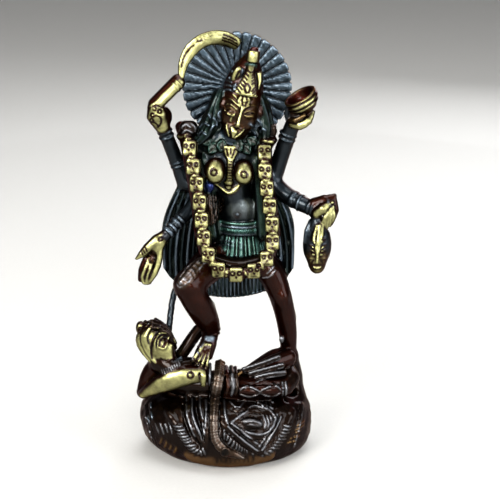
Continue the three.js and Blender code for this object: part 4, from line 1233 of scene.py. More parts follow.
def turned_form(centre, axis, outline, finish, *, blend=0.3, cut=False):
    """A form made by turning an outline of radius and height round an axis."""
    centre = vector(centre) * UNIT
    n = unit(axis)
    from_outline = turned_outline(outline)

    def distance(x, y, z):
        x, y, z = x - centre[0], y - centre[1], z - centre[2]
        height = x * n[0] + y * n[1] + z * n[2]
        radius = np.sqrt(np.maximum(x * x + y * y + z * z - height**2, 0))
        return from_outline(radius / UNIT, height / UNIT) * UNIT

    reach = max(math.hypot(*corner) for corner in outline) * UNIT + 0.4
    return Form(Part(distance, centre - reach, centre + reach), finish, blend, cut)


def model_bowl(clay):
    steps = 9
    turns = [math.pi / 2 * i / steps for i in range(steps + 1)]
    outside = [(BOWL_RADIUS * math.sin(a), -BOWL_DEPTH * math.cos(a)) for a in turns]
    radius, depth = BOWL_RADIUS - BOWL_WALL, BOWL_DEPTH - BOWL_WALL
    inside = [(radius * math.sin(a), -depth * math.cos(a)) for a in turns]
    n = unit(BOWL_AXIS)
    clay.add(
        ball((34.6, -4.6, 164.2), (4.7, 4, 4.6), "indigo", turn=(0, 26, 0), blend=1),
        turned_form(BOWL_RIM, BOWL_AXIS, outside + inside[::-1], "gold", blend=0.4),
        turned_form(BOWL_RIM, BOWL_AXIS, inside + [(radius, 2), (0, 2)], "lacquer", cut=True, blend=0.2),
        ring(vector(BOWL_RIM) - 0.4 * n, n, BOWL_RADIUS, 0.45, "dull_gold"),
        ring(vector(BOWL_RIM) - 1.3 * n, n, BOWL_RADIUS, 0.26, "soot", cut=True),
        ring(vector(BOWL_RIM) - 2.5 * n, n, BOWL_RADIUS - 0.3, 0.8, "gold", blend=0.8),
        ring(vector(BOWL_RIM) - 3.8 * n, n, BOWL_RADIUS - 0.4, 0.26, "soot", cut=True),
        ring(vector(BOWL_RIM) - 4.6 * n, n, BOWL_RADIUS - 0.9, 0.6, "gold", blend=0.6),
        turned_form(vector(BOWL_RIM) - 5.4 * n, BOWL_AXIS, [(0, -4), (4.8, -1.9), (6.1, 0), (0, 0)],
                    "rust", blend=0.4),
        limb([(33.4, -5.2, 166.6), (38.6, -5.8, 166)], [3.4, 2.6], "rust", blend=1),
        limb([(31, -6.6, 160.6), (34.8, -9.2, 160.6), (38.8, -9.2, 163), (41, -6.8, 166.6)],
             [(1.4, 1.3), (1.9, 1.5), (1.8, 1.4), 0.9], "gold", blend=0.3),
        limb([(30.2, -5.6, 163), (33, -9.4, 163.2), (36.8, -9.8, 165.6)], [1.2, 1.3, 0.9], "rust",
             blend=0.25),
        limb([(30.4, -5, 162), (29, -6.4, 166), (29.6, -7.6, 168.6)], [1.5, 1.3, 0.9], "indigo", blend=0.3),
    )


def model_open_hand(clay):
    clay.add(
        limb([(-26.4, -11.6, 110.2), (-29.6, -12.8, 107), (-30.6, -13, 103)],
             [(2.6, 2.2), (3.8, 2.3), (3.2, 1.9)], "gold", blend=1),
        ball((-34.2, -12.9, 94), (3.2, 1.5, 7.4), "umber", turn=(0, 17, 0), blend=0.8),
        limb([(-35.2, -12.8, 99.4), (-37.2, -13.4, 94), (-37.8, -13.6, 89.6)], [1.5, 1.7, 1.4], "umber",
             blend=0.4),
        limb([(-28.7, -12.8, 107), (-28.9, -13.6, 101.4), (-29.7, -14.4, 97), (-31.2, -15.2, 93.2),
              (-33.3, -15.4, 89.6)],
             [1.7, 1.6, 1.6, 1.5, 1.1], "gold", blend=0.3),
        limb([(-32.4, -14.2, 98.8), (-33.6, -15.4, 95), (-34.9, -15.7, 91.8), (-34.8, -15.2, 88.9)],
             [1, 1.3, 1.3, 1], "gold", blend=0.2),
        limb([(-33.6, -14, 100), (-35.6, -15, 95), (-36.8, -15.2, 91.6), (-36.5, -14.8, 88.8)],
             [0.8, 1.1, 1.15, 0.9], "gold", blend=0.2),
        ball((-35, -14.8, 88.3), (2.3, 1.3, 1), "gold", blend=0.4),
        ball((-32.2, -15, 100.8), (1.8, 1.2, 2.9), "rust", turn=(0, 14, 0), cut=True, blend=0.4),
        ball((-31.8, -11.9, 101.4), (3.3, 1.3, 4.8), "rust", turn=(0, 20, 0), blend=0.6),
        limb([(-30.2, -12.6, 108.4), (-34.2, -13.8, 104.8), (-37, -14.4, 102), (-39.5, -14.2, 99.8)],
             [2.4, 2.3, 1.7, 0.7], "gold", blend=0.5),
        limb([(-33.3, -16, 98.6), (-34.9, -16.6, 94.4), (-36, -16.4, 90.2)], [0.4, 0.5, 0.4], "soot",
             cut=True, blend=0.2),
        limb([(-31.2, -15.8, 98.6), (-32.3, -16.6, 95), (-33.8, -16.6, 90.4)], [0.4, 0.5, 0.4], "soot",
             cut=True, blend=0.2),
    )
    palm_line_count = 3
    for i in range(palm_line_count):
        engraved(clay, [[(-35.4 - 0.9 * i, 105.6 - 0.9 * i), (-34.4 - 0.9 * i, 103.6 - 0.9 * i)]], 0.24)
    dotted_ring(clay, -28.4, 109.2, 0.8)


def model_grip_hand(clay):
    clay.add(
        limb([(42.4, -10, 123.8), (47, -10.6, 125.6), (51, -10.4, 128.6)],
             [(3.8, 3.2), (3.6, 2.8), (1.1, 1.3)], "umber", blend=0.8),
        limb([(50.6, -10.6, 127), (50.8, -11.2, 122), (49.8, -11.6, 116.8)], [1.6, (2.4, 2.2), 1.3],
             "umber", blend=0.8),
        limb([(43, -13.2, 121.3), (45.6, -14.4, 123.5), (48.2, -14.2, 125.7)], [2.4, 2.5, 1.4], "gold",
             blend=0.4),
        ring((48.7, -14, 126), (0.7, -0.4, 0.6), 1.3, 0.4, "steel"),
        ball((49.9, -13.6, 126.4), (1.1, 1.1, 0.9), "gold", blend=0.2),
    )
    tips = [(44.9, 115.2), (46.2, 114.5), (47.6, 114.4), (48.9, 115.4)]
    for i, (x, z) in enumerate(tips):
        bend = (0.62 * x + 0.38 * 50.2 - 0.4, -15.4 + 0.3 * i, 119.6 + 0.4 * i)
        clay.add(limb([(50.1 - 0.3 * i, -13.4, 124.4 - 0.5 * i), bend, (x, -14.2, z)], [1.1, 1.1, 0.7],
                      "gold", blend=0.15))
    clay.add(limb([(49.8, -13.2, 124), (50.4, -13.5, 119.8), (49.4, -13.2, 116.2)], [1.2, 1.6, 1.1], "gold",
                  blend=0.3))


def model_severed_head(clay):
    middle = vector((43.4, -12, 105))

    def on_face(x, y, z):
        return tuple(middle + vector((x, y, z)))

    def line_on_face(line, girths, finish, blend):
        return limb([on_face(*point) for point in line], girths, finish, blend=blend)

    clay.add(
        ball(on_face(0, 0, 0.6), (6.6, 6.1, 10.2), "indigo", blend=1),
        ball(on_face(0, -1.4, -8.4), (3.8, 3.9, 4.2), "dull_gold", blend=2.2),
        ball(on_face(0, -2.2, -3), (5, 4.4, 6.6), "dull_gold", blend=0.8),
        line_on_face([(-0.2, 0, 13.4), (0, 0, 6)], [2.6, 5.4], "indigo", 1.2),
        line_on_face([(-3.2, 0, 12), (-4.6, -1.6, 8), (-5.6, -2.4, 3)], [1, 1.5, 1], "steel", 0.4),
        line_on_face([(-0.4, -3.4, 11), (-1.6, -5.2, 7), (-2, -6, 4.6)], [0.7, 0.9, 0.7], "gold", 0.2),
        line_on_face([(0.8, -3.6, 11.4), (0.2, -5.8, 7), (-0.2, -7, 3.4)], [0.7, 0.8, 0.8], "gold", 0.2),
        line_on_face([(2.2, -3.2, 11), (1.7, -5.4, 7), (1, -6.4, 4.6)], [0.7, 0.9, 0.7], "gold", 0.2),
        line_on_face([(0, -6, 4.6), (-0.2, -7.2, 1), (-0.2, -7.8, -2), (-0.4, -8, -5)],
                     [(1.3, 0.9), (1.5, 0.9), (0.8, 0.9), (0.9, 1)], "gold", 0.4),
    )
    for side in (-1, 1):
        for rise, reach in ((3.8, 3.2), (1.2, 3.8), (-0.8, 3.6)):
            brow = [(0.5 * side - 0.2, -7, rise - 1.4), (0.6 * reach * side, -6.2, rise + 0.4),
                    (reach * side, -4.9, rise + 0.9)]
            clay.add(line_on_face(brow, [0.5, 0.5, 0.3], "gold", 0.15))
        clay.add(ball(on_face(1.7 * side - 0.2, -6.7, -1.8), (1.1, 0.8, 0.75), "gold", blend=0.2))
        clay.stroke([(43.3 + 5.4 * side, 102.6), (43.3 + 4.2 * side, 101), (43.3 + 2.4 * side, 101)], 0.34,
                    "dull_gold")
        engraved(clay, [
            [(43.2 + 0.9 * side, 103.9), (43.2 + 2.6 * side, 104.2), (43.2 + 4.4 * side, 103.6)],
            [(43.2 + 1.6 * side, 100.4), (43.2 + 2.6 * side, 98.4), (43.2 + 2.2 * side, 96.4)],
        ], 0.3)
    clay.stroke([(41.6, 97.5), (43.2, 98), (45, 97.6)], 0.28, "soot", cut=True)
    clay.stroke([(41.5, 96.6), (43.2, 96.2), (45, 96.7)], 0.6, "gold", sunk=-0.1)


def on_head(x, y, z):
    """A point of the head, from the middle of the skull, before the head is tilted."""
    return tuple(vector(HEAD) + turned(HEAD_TURN) @ vector((x, y, z)))


def model_head(clay):
    clay.add(
        ball(HEAD, (8.9, 8.8, 11.2), "rust", turn=HEAD_TURN, blend=1),
        ball(on_head(0, -2.6, -7.6), (5.4, 5.4, 5), "rust", turn=HEAD_TURN, blend=2.5),
        *pair(lambda side: ball(on_head(4.2 * side, -5.2, -3.4), (3, 2.6, 3.4), "rust", blend=2.2)),
        ball((5.7, -9.4, 158.8), (4.3, 2.6, 3.3), "rust", turn=HEAD_TURN, blend=1.8),
        *pair(lambda side: ball(on_head(3.9 * side, -7.6, 0.3), (2.6, 1.5, 1.5), "rust", blend=0.6)),
    )
    clay.add(
        limb([(9.4, -12.2, 170), (8.7, -13, 168), (7.8, -14, 165), (7.2, -14.6, 162.4)],
             [(1.1, 0.8), (0.6, 0.8), (0.7, 0.9), (1, 1.1)], "gold", blend=0.5),
        ball((7, -14, 161.8), (1.5, 1.2, 1), "dull_gold", turn=HEAD_TURN, blend=0.5),
        ball(clay.front(9.9, 172.3, -0.2), (2.9, 0.9, 2.9), "gold", turn=(0, 6, 0), blend=0.3),
        limb(clay.traced([(9.7, 171), (9.2, 169.6), (8.7, 168)], 0.1), [(2.9, 0.9), (1.8, 0.9), (1, 0.9)],
             "gold", blend=0.4),
    )
    engraved(clay, [
        [(9.5, 174.6), (8.9, 172.8), (9.4, 170.6)],
        [(10.7, 174.6), (11.3, 172.8), (10.5, 170.6)],
    ], 0.3)
    strokes(clay, [
        [(1.2, 172.6), (2.6, 173.1), (4.5, 172.8), (6, 171.5), (7.8, 170.1)],
        [(1.5, 174.7), (4.2, 175.2), (6.3, 173.9), (7.4, 172.2)],
        [(1.2, 170.2), (3.1, 170.9), (5, 170.1), (6.7, 168.6)],
        [(0.8, 169.4), (1.4, 167.7), (2.4, 166.8), (3.7, 166.2), (4.7, 165.8), (5.8, 166.6)],
        [(5.6, 166.3), (4.4, 165.2), (3.9, 163.4)],
    ], 0.36, "gold", sunk=-0.1)
    strokes(clay, [
        [(2.2, 168.9), (3.9, 169.2), (5.7, 168.2)],
        [(9.8, 169.2), (12, 170.3), (14.4, 170), (15.8, 168.7)],
        [(9.9, 167.1), (12.1, 167.9), (14.6, 166.9)],
        [(10.1, 165.9), (12.3, 165.4), (14.3, 165.9)],
        [(9.9, 172.2), (12.6, 172.9), (15.4, 171.8)],
    ], 0.34, "dull_gold", sunk=-0.05)
    engraved(clay, [
        [(1.8, 168.2), (3.4, 167.8), (5.2, 167.5)],
        [(10.6, 166.5), (12.3, 166.6), (14, 166.4)],
        [(1.6, 171.4), (3.4, 171.8), (5.4, 170.9)],
    ], 0.3)
    clay.add(
        limb([(6.2, -11.8, 160.4), (8.3, -11.6, 160.2)], [0.75, 0.6], "hollow", cut=True, blend=0.3),
        limb([(3.2, -12, 160.8), (3.4, -12.4, 158.4), (4, -12, 156.4)], [0.4, 0.5, 0.4], "hollow", cut=True,
             blend=0.2),
        limb([(4.4, -12.2, 160.6), (5.5, -12.9, 158.6), (4.9, -12.6, 156.2)],
             [(0.9, 0.7), (1.6, 0.9), (0.5, 0.6)], "gold", blend=0.2),
        limb([(2, -10.6, 161.6), (2.4, -11.4, 159.2), (3.2, -11.8, 156.6)], [0.45, 0.6, 0.5], "gold",
             blend=0.2),
        limb([(9.9, -10.8, 159.4), (8, -11.8, 157.5), (5.6, -12.2, 155.9)], [0.45, 0.6, 0.5], "gold",
             blend=0.2),
    )
    ears = [(-7.9, -2.4, 2.4), (8.6, -2, 1.6)]
    for x, y, z in ears:
        clay.add(
            limb([on_head(x, y, z + 1.8), on_head(1.06 * x, y - 0.8, z - 0.6), on_head(x, y, z - 3)],
                 [1, 1.3, 0.9], "umber", blend=0.5),
            ring(on_head(x, y - 1.2, z - 5.4), (0.2, -1, 0), 1.5, 0.5, "steel"),
            limb([on_head(1.04 * x, y - 0.8, z - 3), on_head(x, y - 1, z - 8)], [0.7, 0.9], "steel",
                 blend=0.3),
        )


def model_side_hair(clay):
    locks = [
        [(0.6, -4, 175), (-1.6, -4, 168), (-4, -4.4, 160), (-7, -4.6, 155.6), (-10.4, -4.4, 152.4)],
        [(-0.6, -1.6, 174), (-4, -1.6, 166), (-8, -1.6, 159), (-12.4, -1.4, 153.6)],
        [(-0.6, 1.6, 174), (-3.4, 2.4, 165), (-7, 3, 157), (-10, 3.4, 148)],
        [(17.6, -3.4, 173), (18.6, -3.4, 166), (19.4, -3.8, 158.6), (18.4, -4.4, 153), (16, -5, 149.6)],
        [(18, -0.6, 172), (20.6, -0.6, 164), (21, -1, 156), (21.4, -1, 150)],
        [(17.6, 2.4, 172), (20, 3.4, 164), (19.4, 4, 156), (18.6, 4.2, 147)],
    ]
    for line in locks:
        clay.add(limb(line, [1.6, 2.3, 2.4, 2.1, 1.4], "hair", blend=0.5, relief=strands(4, 0.35, 0.35)))
    curls = [
        [(-13, 160.8), (-10.6, 162.8), (-8, 162.4)], [(-10.4, 158.6), (-8.4, 160.6), (-6.2, 160.2)],
        [(-8.2, 165.2), (-6.2, 164.8), (-5, 162.4)], [(-5.2, 158.4), (-3.6, 160.4), (-1.8, 160)],
        [(-4, 163.8), (-2.6, 162.6), (-2.2, 160.4)], [(-11.4, 155.4), (-9.2, 156.8), (-7.6, 156.2)],
        [(12.6, 161.6), (14.2, 160.2), (14.6, 158)], [(15.4, 163), (17.2, 161.6), (17.8, 159.2)],
        [(13, 157.6), (14.8, 156.2), (15.2, 154.4)], [(17, 157), (18.2, 158.6), (19.8, 158)],
    ]
    # Curls in a lighter slate with pale worn tops: painted glints on the dark hair.
    strokes(clay, curls, 0.42, "slate", sunk=-0.1)
    for line in ([(-1.5, 8, 170), (-3.4, 9.2, 160), (-5, 8.8, 148), (-6.4, 8.4, 134), (-7, 7.2, 116)],
                 [(5.6, 9, 171), (5, 10.2, 160), (4, 9.6, 148), (3.4, 8.8, 132), (3.2, 7.2, 112)],
                 [(12.4, 8.6, 170), (13, 9.4, 160), (12.4, 9, 148), (12.6, 8.4, 134), (13, 7.2, 116)]):
        clay.add(limb(line, [3.4, 3.8, 3.2, 2.4, 1], "hair", blend=2.5, relief=strands(5, 0.35, 0.3)))


def model_crown(clay):
    clay.add(
        limb([(8.6, -1, 170), (9.8, -1, 177), (11.4, -0.6, 184), (13, -0.4, 189.4)],
             [(9.7, 9.4), (9, 8.4), (6.6, 6), (3.4, 3.4)], "umber", blend=0.8),
        limb([(10.7, -11.4, 175.6), (11.6, -9.8, 180), (12.6, -7.4, 184.4), (13, -5.8, 186.6)],
             [(5, 1.2), (3.7, 1.5), (2.2, 1.7), (2, 1.7)], "gold", blend=0.3),
        cuff((13.1, -4.4, 187.2), (0.06, 0.1, 1), 2.6, 1.8, "teal", pitch=1, rise=0.2),
        band((13.9, -3, 191), (0.1, 0.1, 1), 3, 5.2, "gold"),
        ball((14.4, -1.8, 193.8), (2.1, 1.8, 1.3), "lacquer", blend=0.4),
    )
    left_count, middle_count, right_count = 7, 5, 3
    for i in range(left_count):
        x, z = 11.7 - 0.78 * i, 185.7 - 1.3 * i
        engraved(clay, [[(x, z), (x + 1 + 0.05 * i, z - 0.9 - 0.13 * i)]], 0.3)
    for i in range(middle_count):
        engraved(clay, [[(14.5, 185.3 - 1.2 * i), (13.5, 184.8 - 1.2 * i)]], 0.3)
    for i in range(right_count):
        x, z = 14.9 + 0.4 * i, 178.6 - i
        engraved(clay, [[(x, z), (x - 1.5, z - 1.7)]], 0.22)
    engraved(clay, [
        [(11.1, 180.2), (10.1, 178.3), (11, 176.4)],
        [(11.7, 180.2), (12.7, 178.3), (11.9, 176.4)],
    ], 0.34)
    studs = [(4.6, 184.6), (3.4, 181.8), (17.9, 179.2)]
    clay.add(
        limb([(5.4, -8.6, 177.2), (10.2, -12.2, 175.6), (15.4, -9.8, 174.2)], [0.6, 0.65, 0.6], "gold",
             blend=0.2),
        ball((6.5, -7.2, 183.8), (1.9, 1.3, 3.9), "gold", turn=(10, 25, 0), blend=0.3),
        ball((8.7, -7, 184), (1, 1.2, 2.8), "steel", turn=(10, 12, 0), blend=0.2),
        limb([(16.7, -6, 183.7), (16.9, -6.6, 180.6), (16.4, -7.4, 177)],
             [(1.3, 1.1), (1, 1.1), (0.4, 0.8)], "gold", blend=0.25),
        *[ball((x, -6, z), (0.6, 0.6, 0.7), "steel", blend=0.1) for x, z in studs],
    )
    engraved(clay, [[(7.8, 185.4), (7, 183.8), (6.2, 181.8)]], 0.34)
    strokes(clay, [
        [(0.6, 178), (2.9, 178.7), (4.8, 178.2)], [(0.5, 176.1), (2.9, 176.8), (5, 176.4)],
        [(5.3, 179.2), (5.3, 177)], [(6.2, 179.6), (6, 177.4)], [(1, 180), (3, 180.4), (4.4, 180)],
    ], 0.42, "steel", sunk=-0.05)


def halo_disc(ray_count):
    """The halo: broad sand-cast panels with a dark groove between each ray and the next."""

    def distance(x, y, z):
        x, y, z = (value / UNIT - middle for value, middle in zip((x, y, z), HALO_CENTRE))
        radius = np.sqrt(x * x + z * z)
        turn = np.mod(np.arctan2(z, x) / (2 * math.pi) * ray_count + 0.5, 1.0)
        off = np.abs(turn - 0.5)
        fade = np.clip((radius - 5) / 8, 0, 1)
        groove = 0.85 * fade * np.clip((off - 0.36) / 0.06, 0, 1)
        line = 0.3 * fade * np.exp(-((off - 0.27) / 0.03) ** 2)
        sand = 0.13 * ripple(x, z, y, 1.3) * fade
        front = np.where(y < 0, 1.0, 0.25)
        sheet = np.abs(y) - HALO_THICKNESS / 2 + front * (groove + line + sand)
        notch = 0.75 * np.clip((off - 0.34) / 0.08, 0, 1)
        edge = radius - HALO_RADIUS + notch + 0.35
        return (rounded(sheet, edge) - 0.3) * 0.9 * UNIT

    reach = vector([HALO_RADIUS + 1, HALO_THICKNESS, HALO_RADIUS + 1])
    low, high = (vector(HALO_CENTRE) - reach) * UNIT, (vector(HALO_CENTRE) + reach) * UNIT
    return Form(Part(distance, low, high), "slate", blend=0.5)


def model_halo(clay, ray_count):
    clay.add(halo_disc(ray_count))
    clay.add(limb([on_head(0, 4, -2), HALO_CENTRE], [6.6, 2], "soot", blend=1.5))
    clay.add(ring(vector(HALO_CENTRE) + vector((0, 1.7, 0)), FRONT, 23, 0.6, "slate", blend=0.5))


def model_props(clay):
    clay.add(
        limb([(-20, 6, 85), (-23.8, 3, 76), (-25.9, -2, 61.6), (-27, -4, 52)], [1.6, 1.5, 1.5, 1.7],
             "indigo", blend=0.8,
             relief=lambda run, angle, share: 0.14 * np.sin(1.9 * run + angle) * np.sin(0.7 * run)),
        limb([(-6.4, -4, 66), (-12, -2, 60), (-20, -4.6, 49)], [(3, 1.5), 3, 3], "soot", blend=1.5),
    )


# Each finish of the casting: its patina colour, the colour of its worn ridges, which also paints highlights
# and glints on them, how far it is polished back to the brass, and how far that is only on its ridges.
FINISHES = {
    "gold": ("umber", "umber", 1.0, 0.2),
    "carved_gold": ("umber", "rust", 1.0, 0.7),
    "dull_gold": ("rust", "tan", 0.68, 0.3),
    "silver": ("soot", "tin", 0.02, 1.0),
    "snake": ("bronze", "ridge_grey", 0.04, 1.0),
    "steel": ("indigo", "steel_blue", 0.02, 1.0),
    # A painted glint: a pale blue-white spot.
    "pearl_highlight": ("steel_blue", "pearl_highlight", 0.0, 1.0),
    "slate": ("slate", "steel_blue", 0.0, 1.0),
    "indigo": ("indigo", "slate", 0.0, 1.0),
    "lapis": ("lapis", "lapis", 0.0, 1.0),
    "teal": ("verdigris", "pale_verdigris", 0.04, 1.0),
    # A painted sheen on the belly: a paler patina with pale worn tops.
    "belly_sheen": ("belly_sheen", "pearl_highlight", 0.05, 0.5),
    "umber": ("umber", "rust", 0.03, 1.0),
    # A painted highlight on the thighs: bronze with pale worn tops.
    "umber_highlight": ("bronze", "pearl_highlight", 0.05, 1.0),
    "rust": ("rust", "tan", 0.16, 0.8),
    "soot": ("soot", "bronze", 0.02, 1.0),
    "bronze": ("warm_bronze", "tan", 0.1, 0.8),
    # Dark red of the bowl, and a painted red reflection on the garland's flank.
    "lacquer": ("lacquer", "lacquer", 0.0, 1.0),
    "hollow": ("hollow", "hollow", 0.0, 1.0),
    "hair": ("dark_green", "slate", 0.0, 1.0),
    "leaf": ("dark_green", "verdigris", 0.03, 1.0),
}


PAINT_REACH = 0.7  # mm from a form within which it gives its finish
PAINT_GRIP = 0.16  # mm over which one form's finish gives way to the next
# The fine ridges also take painted highlights, and the broad hollows painted shade.
FINE_RELIEF = 0.75  # mm, the size of the ridges that wear and of the grooves that hold dirt
BROAD_RELIEF = 2.8  # mm, the size of the hollows that are darker as a whole


def linear(colour):
    """An sRGB hex colour as linear red, green and blue."""
    parts = [int(colour[i:i + 2], 16) / 255 for i in (1, 3, 5)]
    return tuple(part / 12.92 if part <= 0.04045 else ((part + 0.055) / 1.055) ** 2.4 for part in parts)


def blurred(field, reach):
    """The mean of a field over a cube that reaches `reach` cells to each side."""
    for axis in range(3):
        pad = [(0, 0)] * 3
        pad[axis] = (reach + 1, reach)
        total = np.cumsum(np.pad(field, pad, mode="edge"), axis=axis, dtype=np.float32)
        ahead = np.take(total, range(2 * reach + 1, total.shape[axis]), axis=axis)
        behind = np.take(total, range(0, total.shape[axis] - 2 * reach - 1), axis=axis)
        field = (ahead - behind) / (2 * reach + 1)
    return field


def sampled(field, clay, points):
    """A field's value at each point, in mm, from the eight cells round it."""
    place = (points - clay.low) / clay.cell
    base = np.clip(np.floor(place).astype(int), 0, np.array(field.shape) - 2)
    share = np.clip(place - base, 0, 1)
    found = np.zeros(len(points))
    for corner in range(8):
        step = np.array([corner & 1, corner >> 1 & 1, corner >> 2 & 1])
        weight = np.prod(np.where(step, share, 1 - share), axis=1)
        i, j, k = (base + step).T
        found += weight * field[i, j, k]
    return found


def largest_shell(corner_count, faces):
    """Which faces belong to the shell with the most faces: crumbs that hang free are left out."""
    label = np.arange(corner_count)
    while True:
        lowest = label[faces].min(axis=1)
        fresh = label.copy()
        for column in faces.T:
            np.minimum.at(fresh, column, lowest)
        fresh = fresh[fresh]
        if np.array_equal(fresh, label):
            break
        label = fresh
    owner = label[faces[:, 0]]
    return owner == np.bincount(owner).argmax()


def mesh_from(name, points, faces):
    """A mesh from arrays of points and of faces that all have as many corners."""
    mesh = bpy.data.meshes.new(name)
    sides = faces.shape[1]
    mesh.vertices.add(len(points))
    mesh.vertices.foreach_set("co", np.asarray(points, np.float32).ravel())
    mesh.loops.add(faces.size)
    mesh.loops.foreach_set("vertex_index", faces.astype(np.int32).ravel())
    mesh.polygons.add(len(faces))
    mesh.polygons.foreach_set("loop_start", np.arange(0, faces.size, sides, dtype=np.int32))
    mesh.update(calc_edges=True)
    mesh.validate()
    return mesh


def skin_of(clay):
    """The surface of the clay as points in mm and triangles, without any crumb that hangs free."""
    grid = openvdb.FloatGrid(2 * clay.cell)
    grid.copyFromArray(np.clip(clay.distance, -2 * clay.cell, 2 * clay.cell))
    grid.transform = openvdb.createLinearTransform(voxelSize=clay.cell)
    points, triangles, quads = grid.convertToPolygons(isovalue=0.0, adaptivity=0.0)
    faces = [triangles] if len(triangles) else []
    if len(quads):
        faces += [quads[:, [0, 1, 2]], quads[:, [0, 2, 3]]]
    faces = np.concatenate(faces)[:, ::-1].astype(np.int64)
    faces = faces[largest_shell(len(points), faces)]
    used = np.unique(faces)
    order = np.full(len(points), -1)
    order[used] = np.arange(len(used))
    return points[used] + clay.low, order[faces]


def thinned(mesh, share, kept_fine):
    """A lighter copy of a mesh, with `share` of its faces, most of them where `kept_fine` is high."""
    model = bpy.data.objects.new("thinning", mesh)
    bpy.context.scene.collection.objects.link(model)
    group = model.vertex_groups.new(name="coarse")
    coarsest = 4
    levels = np.round((1 - kept_fine) * coarsest).astype(int)
    for level in range(coarsest + 1):
        members = np.nonzero(levels == level)[0].tolist()
        if members:
            group.add(members, level / coarsest, "REPLACE")
    decimate = model.modifiers.new("decimate", "DECIMATE")
    decimate.ratio = share
    decimate.use_collapse_triangulate = True
    decimate.vertex_group = group.name
    decimate.vertex_group_factor = 0.02
    light = bpy.data.meshes.new_from_object(model.evaluated_get(bpy.context.evaluated_depsgraph_get()))
    bpy.data.objects.remove(model)
    bpy.data.meshes.remove(mesh)
    return light


def close_to(piece, points):
    """Which points lie in the box of a form or of a part, or near it."""
    return np.all((points > piece.low - PAINT_REACH) & (points < piece.high + PAINT_REACH), axis=1)


def form_distance(form, points):
    """The distance from each point to a form, in mm, and `FAR` where it is further than its box."""
    found = np.full(len(points), FAR)
    for part in form.parts:
        near = np.nonzero(close_to(part, points))[0]
        if len(near):
            found[near] = np.minimum(found[near], part.distance(*points[near].T))
    return found


def painted(clay, points, normals, palette):
    """The patina colour and the polish at each point: what each form gives, what wear and dirt add, and
    painted highlights and shade.
    """
    trace = 1e-5  # weight of the ground colour, which shows where no form is near
    order = np.argsort(points[:, 2])
    heights = points[order, 2]
    colour = np.full((len(points), 3), trace) * np.array(palette["soot"])
    worn = colour.copy()
    level = np.zeros(len(points))
    ridged = np.zeros(len(points))
    weight = np.full(len(points), trace)
    for form in clay.forms:
        start, stop = np.searchsorted(heights, (form.low[2] - PAINT_REACH, form.high[2] + PAINT_REACH))
        near = order[start:stop]
        near = near[close_to(form, points[near])]
        if len(near) == 0:
            continue
        share = np.exp(-np.abs(form_distance(form, points[near])) / PAINT_GRIP)
        tone, rubbed, polish, ridge = FINISHES[form.finish]
        colour[near] += share[:, None] * np.array(palette[tone])
        worn[near] += share[:, None] * np.array(palette[rubbed])
        level[near] += share * polish
        ridged[near] += share * ridge
        weight[near] += share
    colour /= weight[:, None]
    worn /= weight[:, None]
    level /= weight
    ridged /= weight

    filled = np.clip(0.5 - clay.distance / clay.cell, 0, 1).astype(np.float32)
    fine = 0.5 - sampled(blurred(filled, max(round(FINE_RELIEF / clay.cell), 1)), clay, points)
    broad = 0.5 - sampled(blurred(filled, max(round(BROAD_RELIEF / clay.cell), 2)), clay, points)
    # Sides turned from the front and top get less polish and less pale worn colour: partly wear, partly
    # painted shade.
    facing_wear_and_light = eased(-0.2, 0.3, -0.95 * normals[:, 1] + 0.32 * normals[:, 2])
    facing_wear_and_light = np.maximum(facing_wear_and_light, 0.3 * eased(0.5, 0.9, normals[:, 1]))
    open_to_cloth = eased(-0.2, -0.07, fine)
    on_ridge = eased(-0.03, 0.06, fine)
    wear = (1 - ridged) * open_to_cloth + ridged * on_ridge
    polish = level * wear * (0.1 + 0.9 * facing_wear_and_light) * (0.75 + 0.25 * eased(-0.25, -0.05, broad))
    # Pale worn colour on fine ridges, most on the sides facing the front: wear, and painted highlights and
    # glints.
    rubbed = eased(0.03, 0.16, fine) * (0.2 + 0.8 * facing_wear_and_light)
    colour += (worn - colour) * rubbed[:, None]
    # Darker in fine grooves, from dirt, and in broad hollows, as painted shade.
    dirt_and_shade = 0.8 * eased(0.04, 0.18, -fine) + 0.3 * eased(0.08, 0.28, -broad)
    colour *= (1 - np.clip(dirt_and_shade, 0, 0.88))[:, None]
    return np.clip(colour, 0, 1), np.clip(polish, 0, 1)


def add_node(tree, kind, label="", links=None, values=None, **settings):
    """Adds a node. `links` and `values` go by the names or numbers of its inputs."""
    node = tree.nodes.new("ShaderNode" + kind)
    node.label = label
    for name, value in settings.items():
        setattr(node, name, value)
    for name, value in (values or {}).items():
        node.inputs[name].default_value = value
    for name, source in (links or {}).items():
        tree.links.new(source, node.inputs[name])
    return node


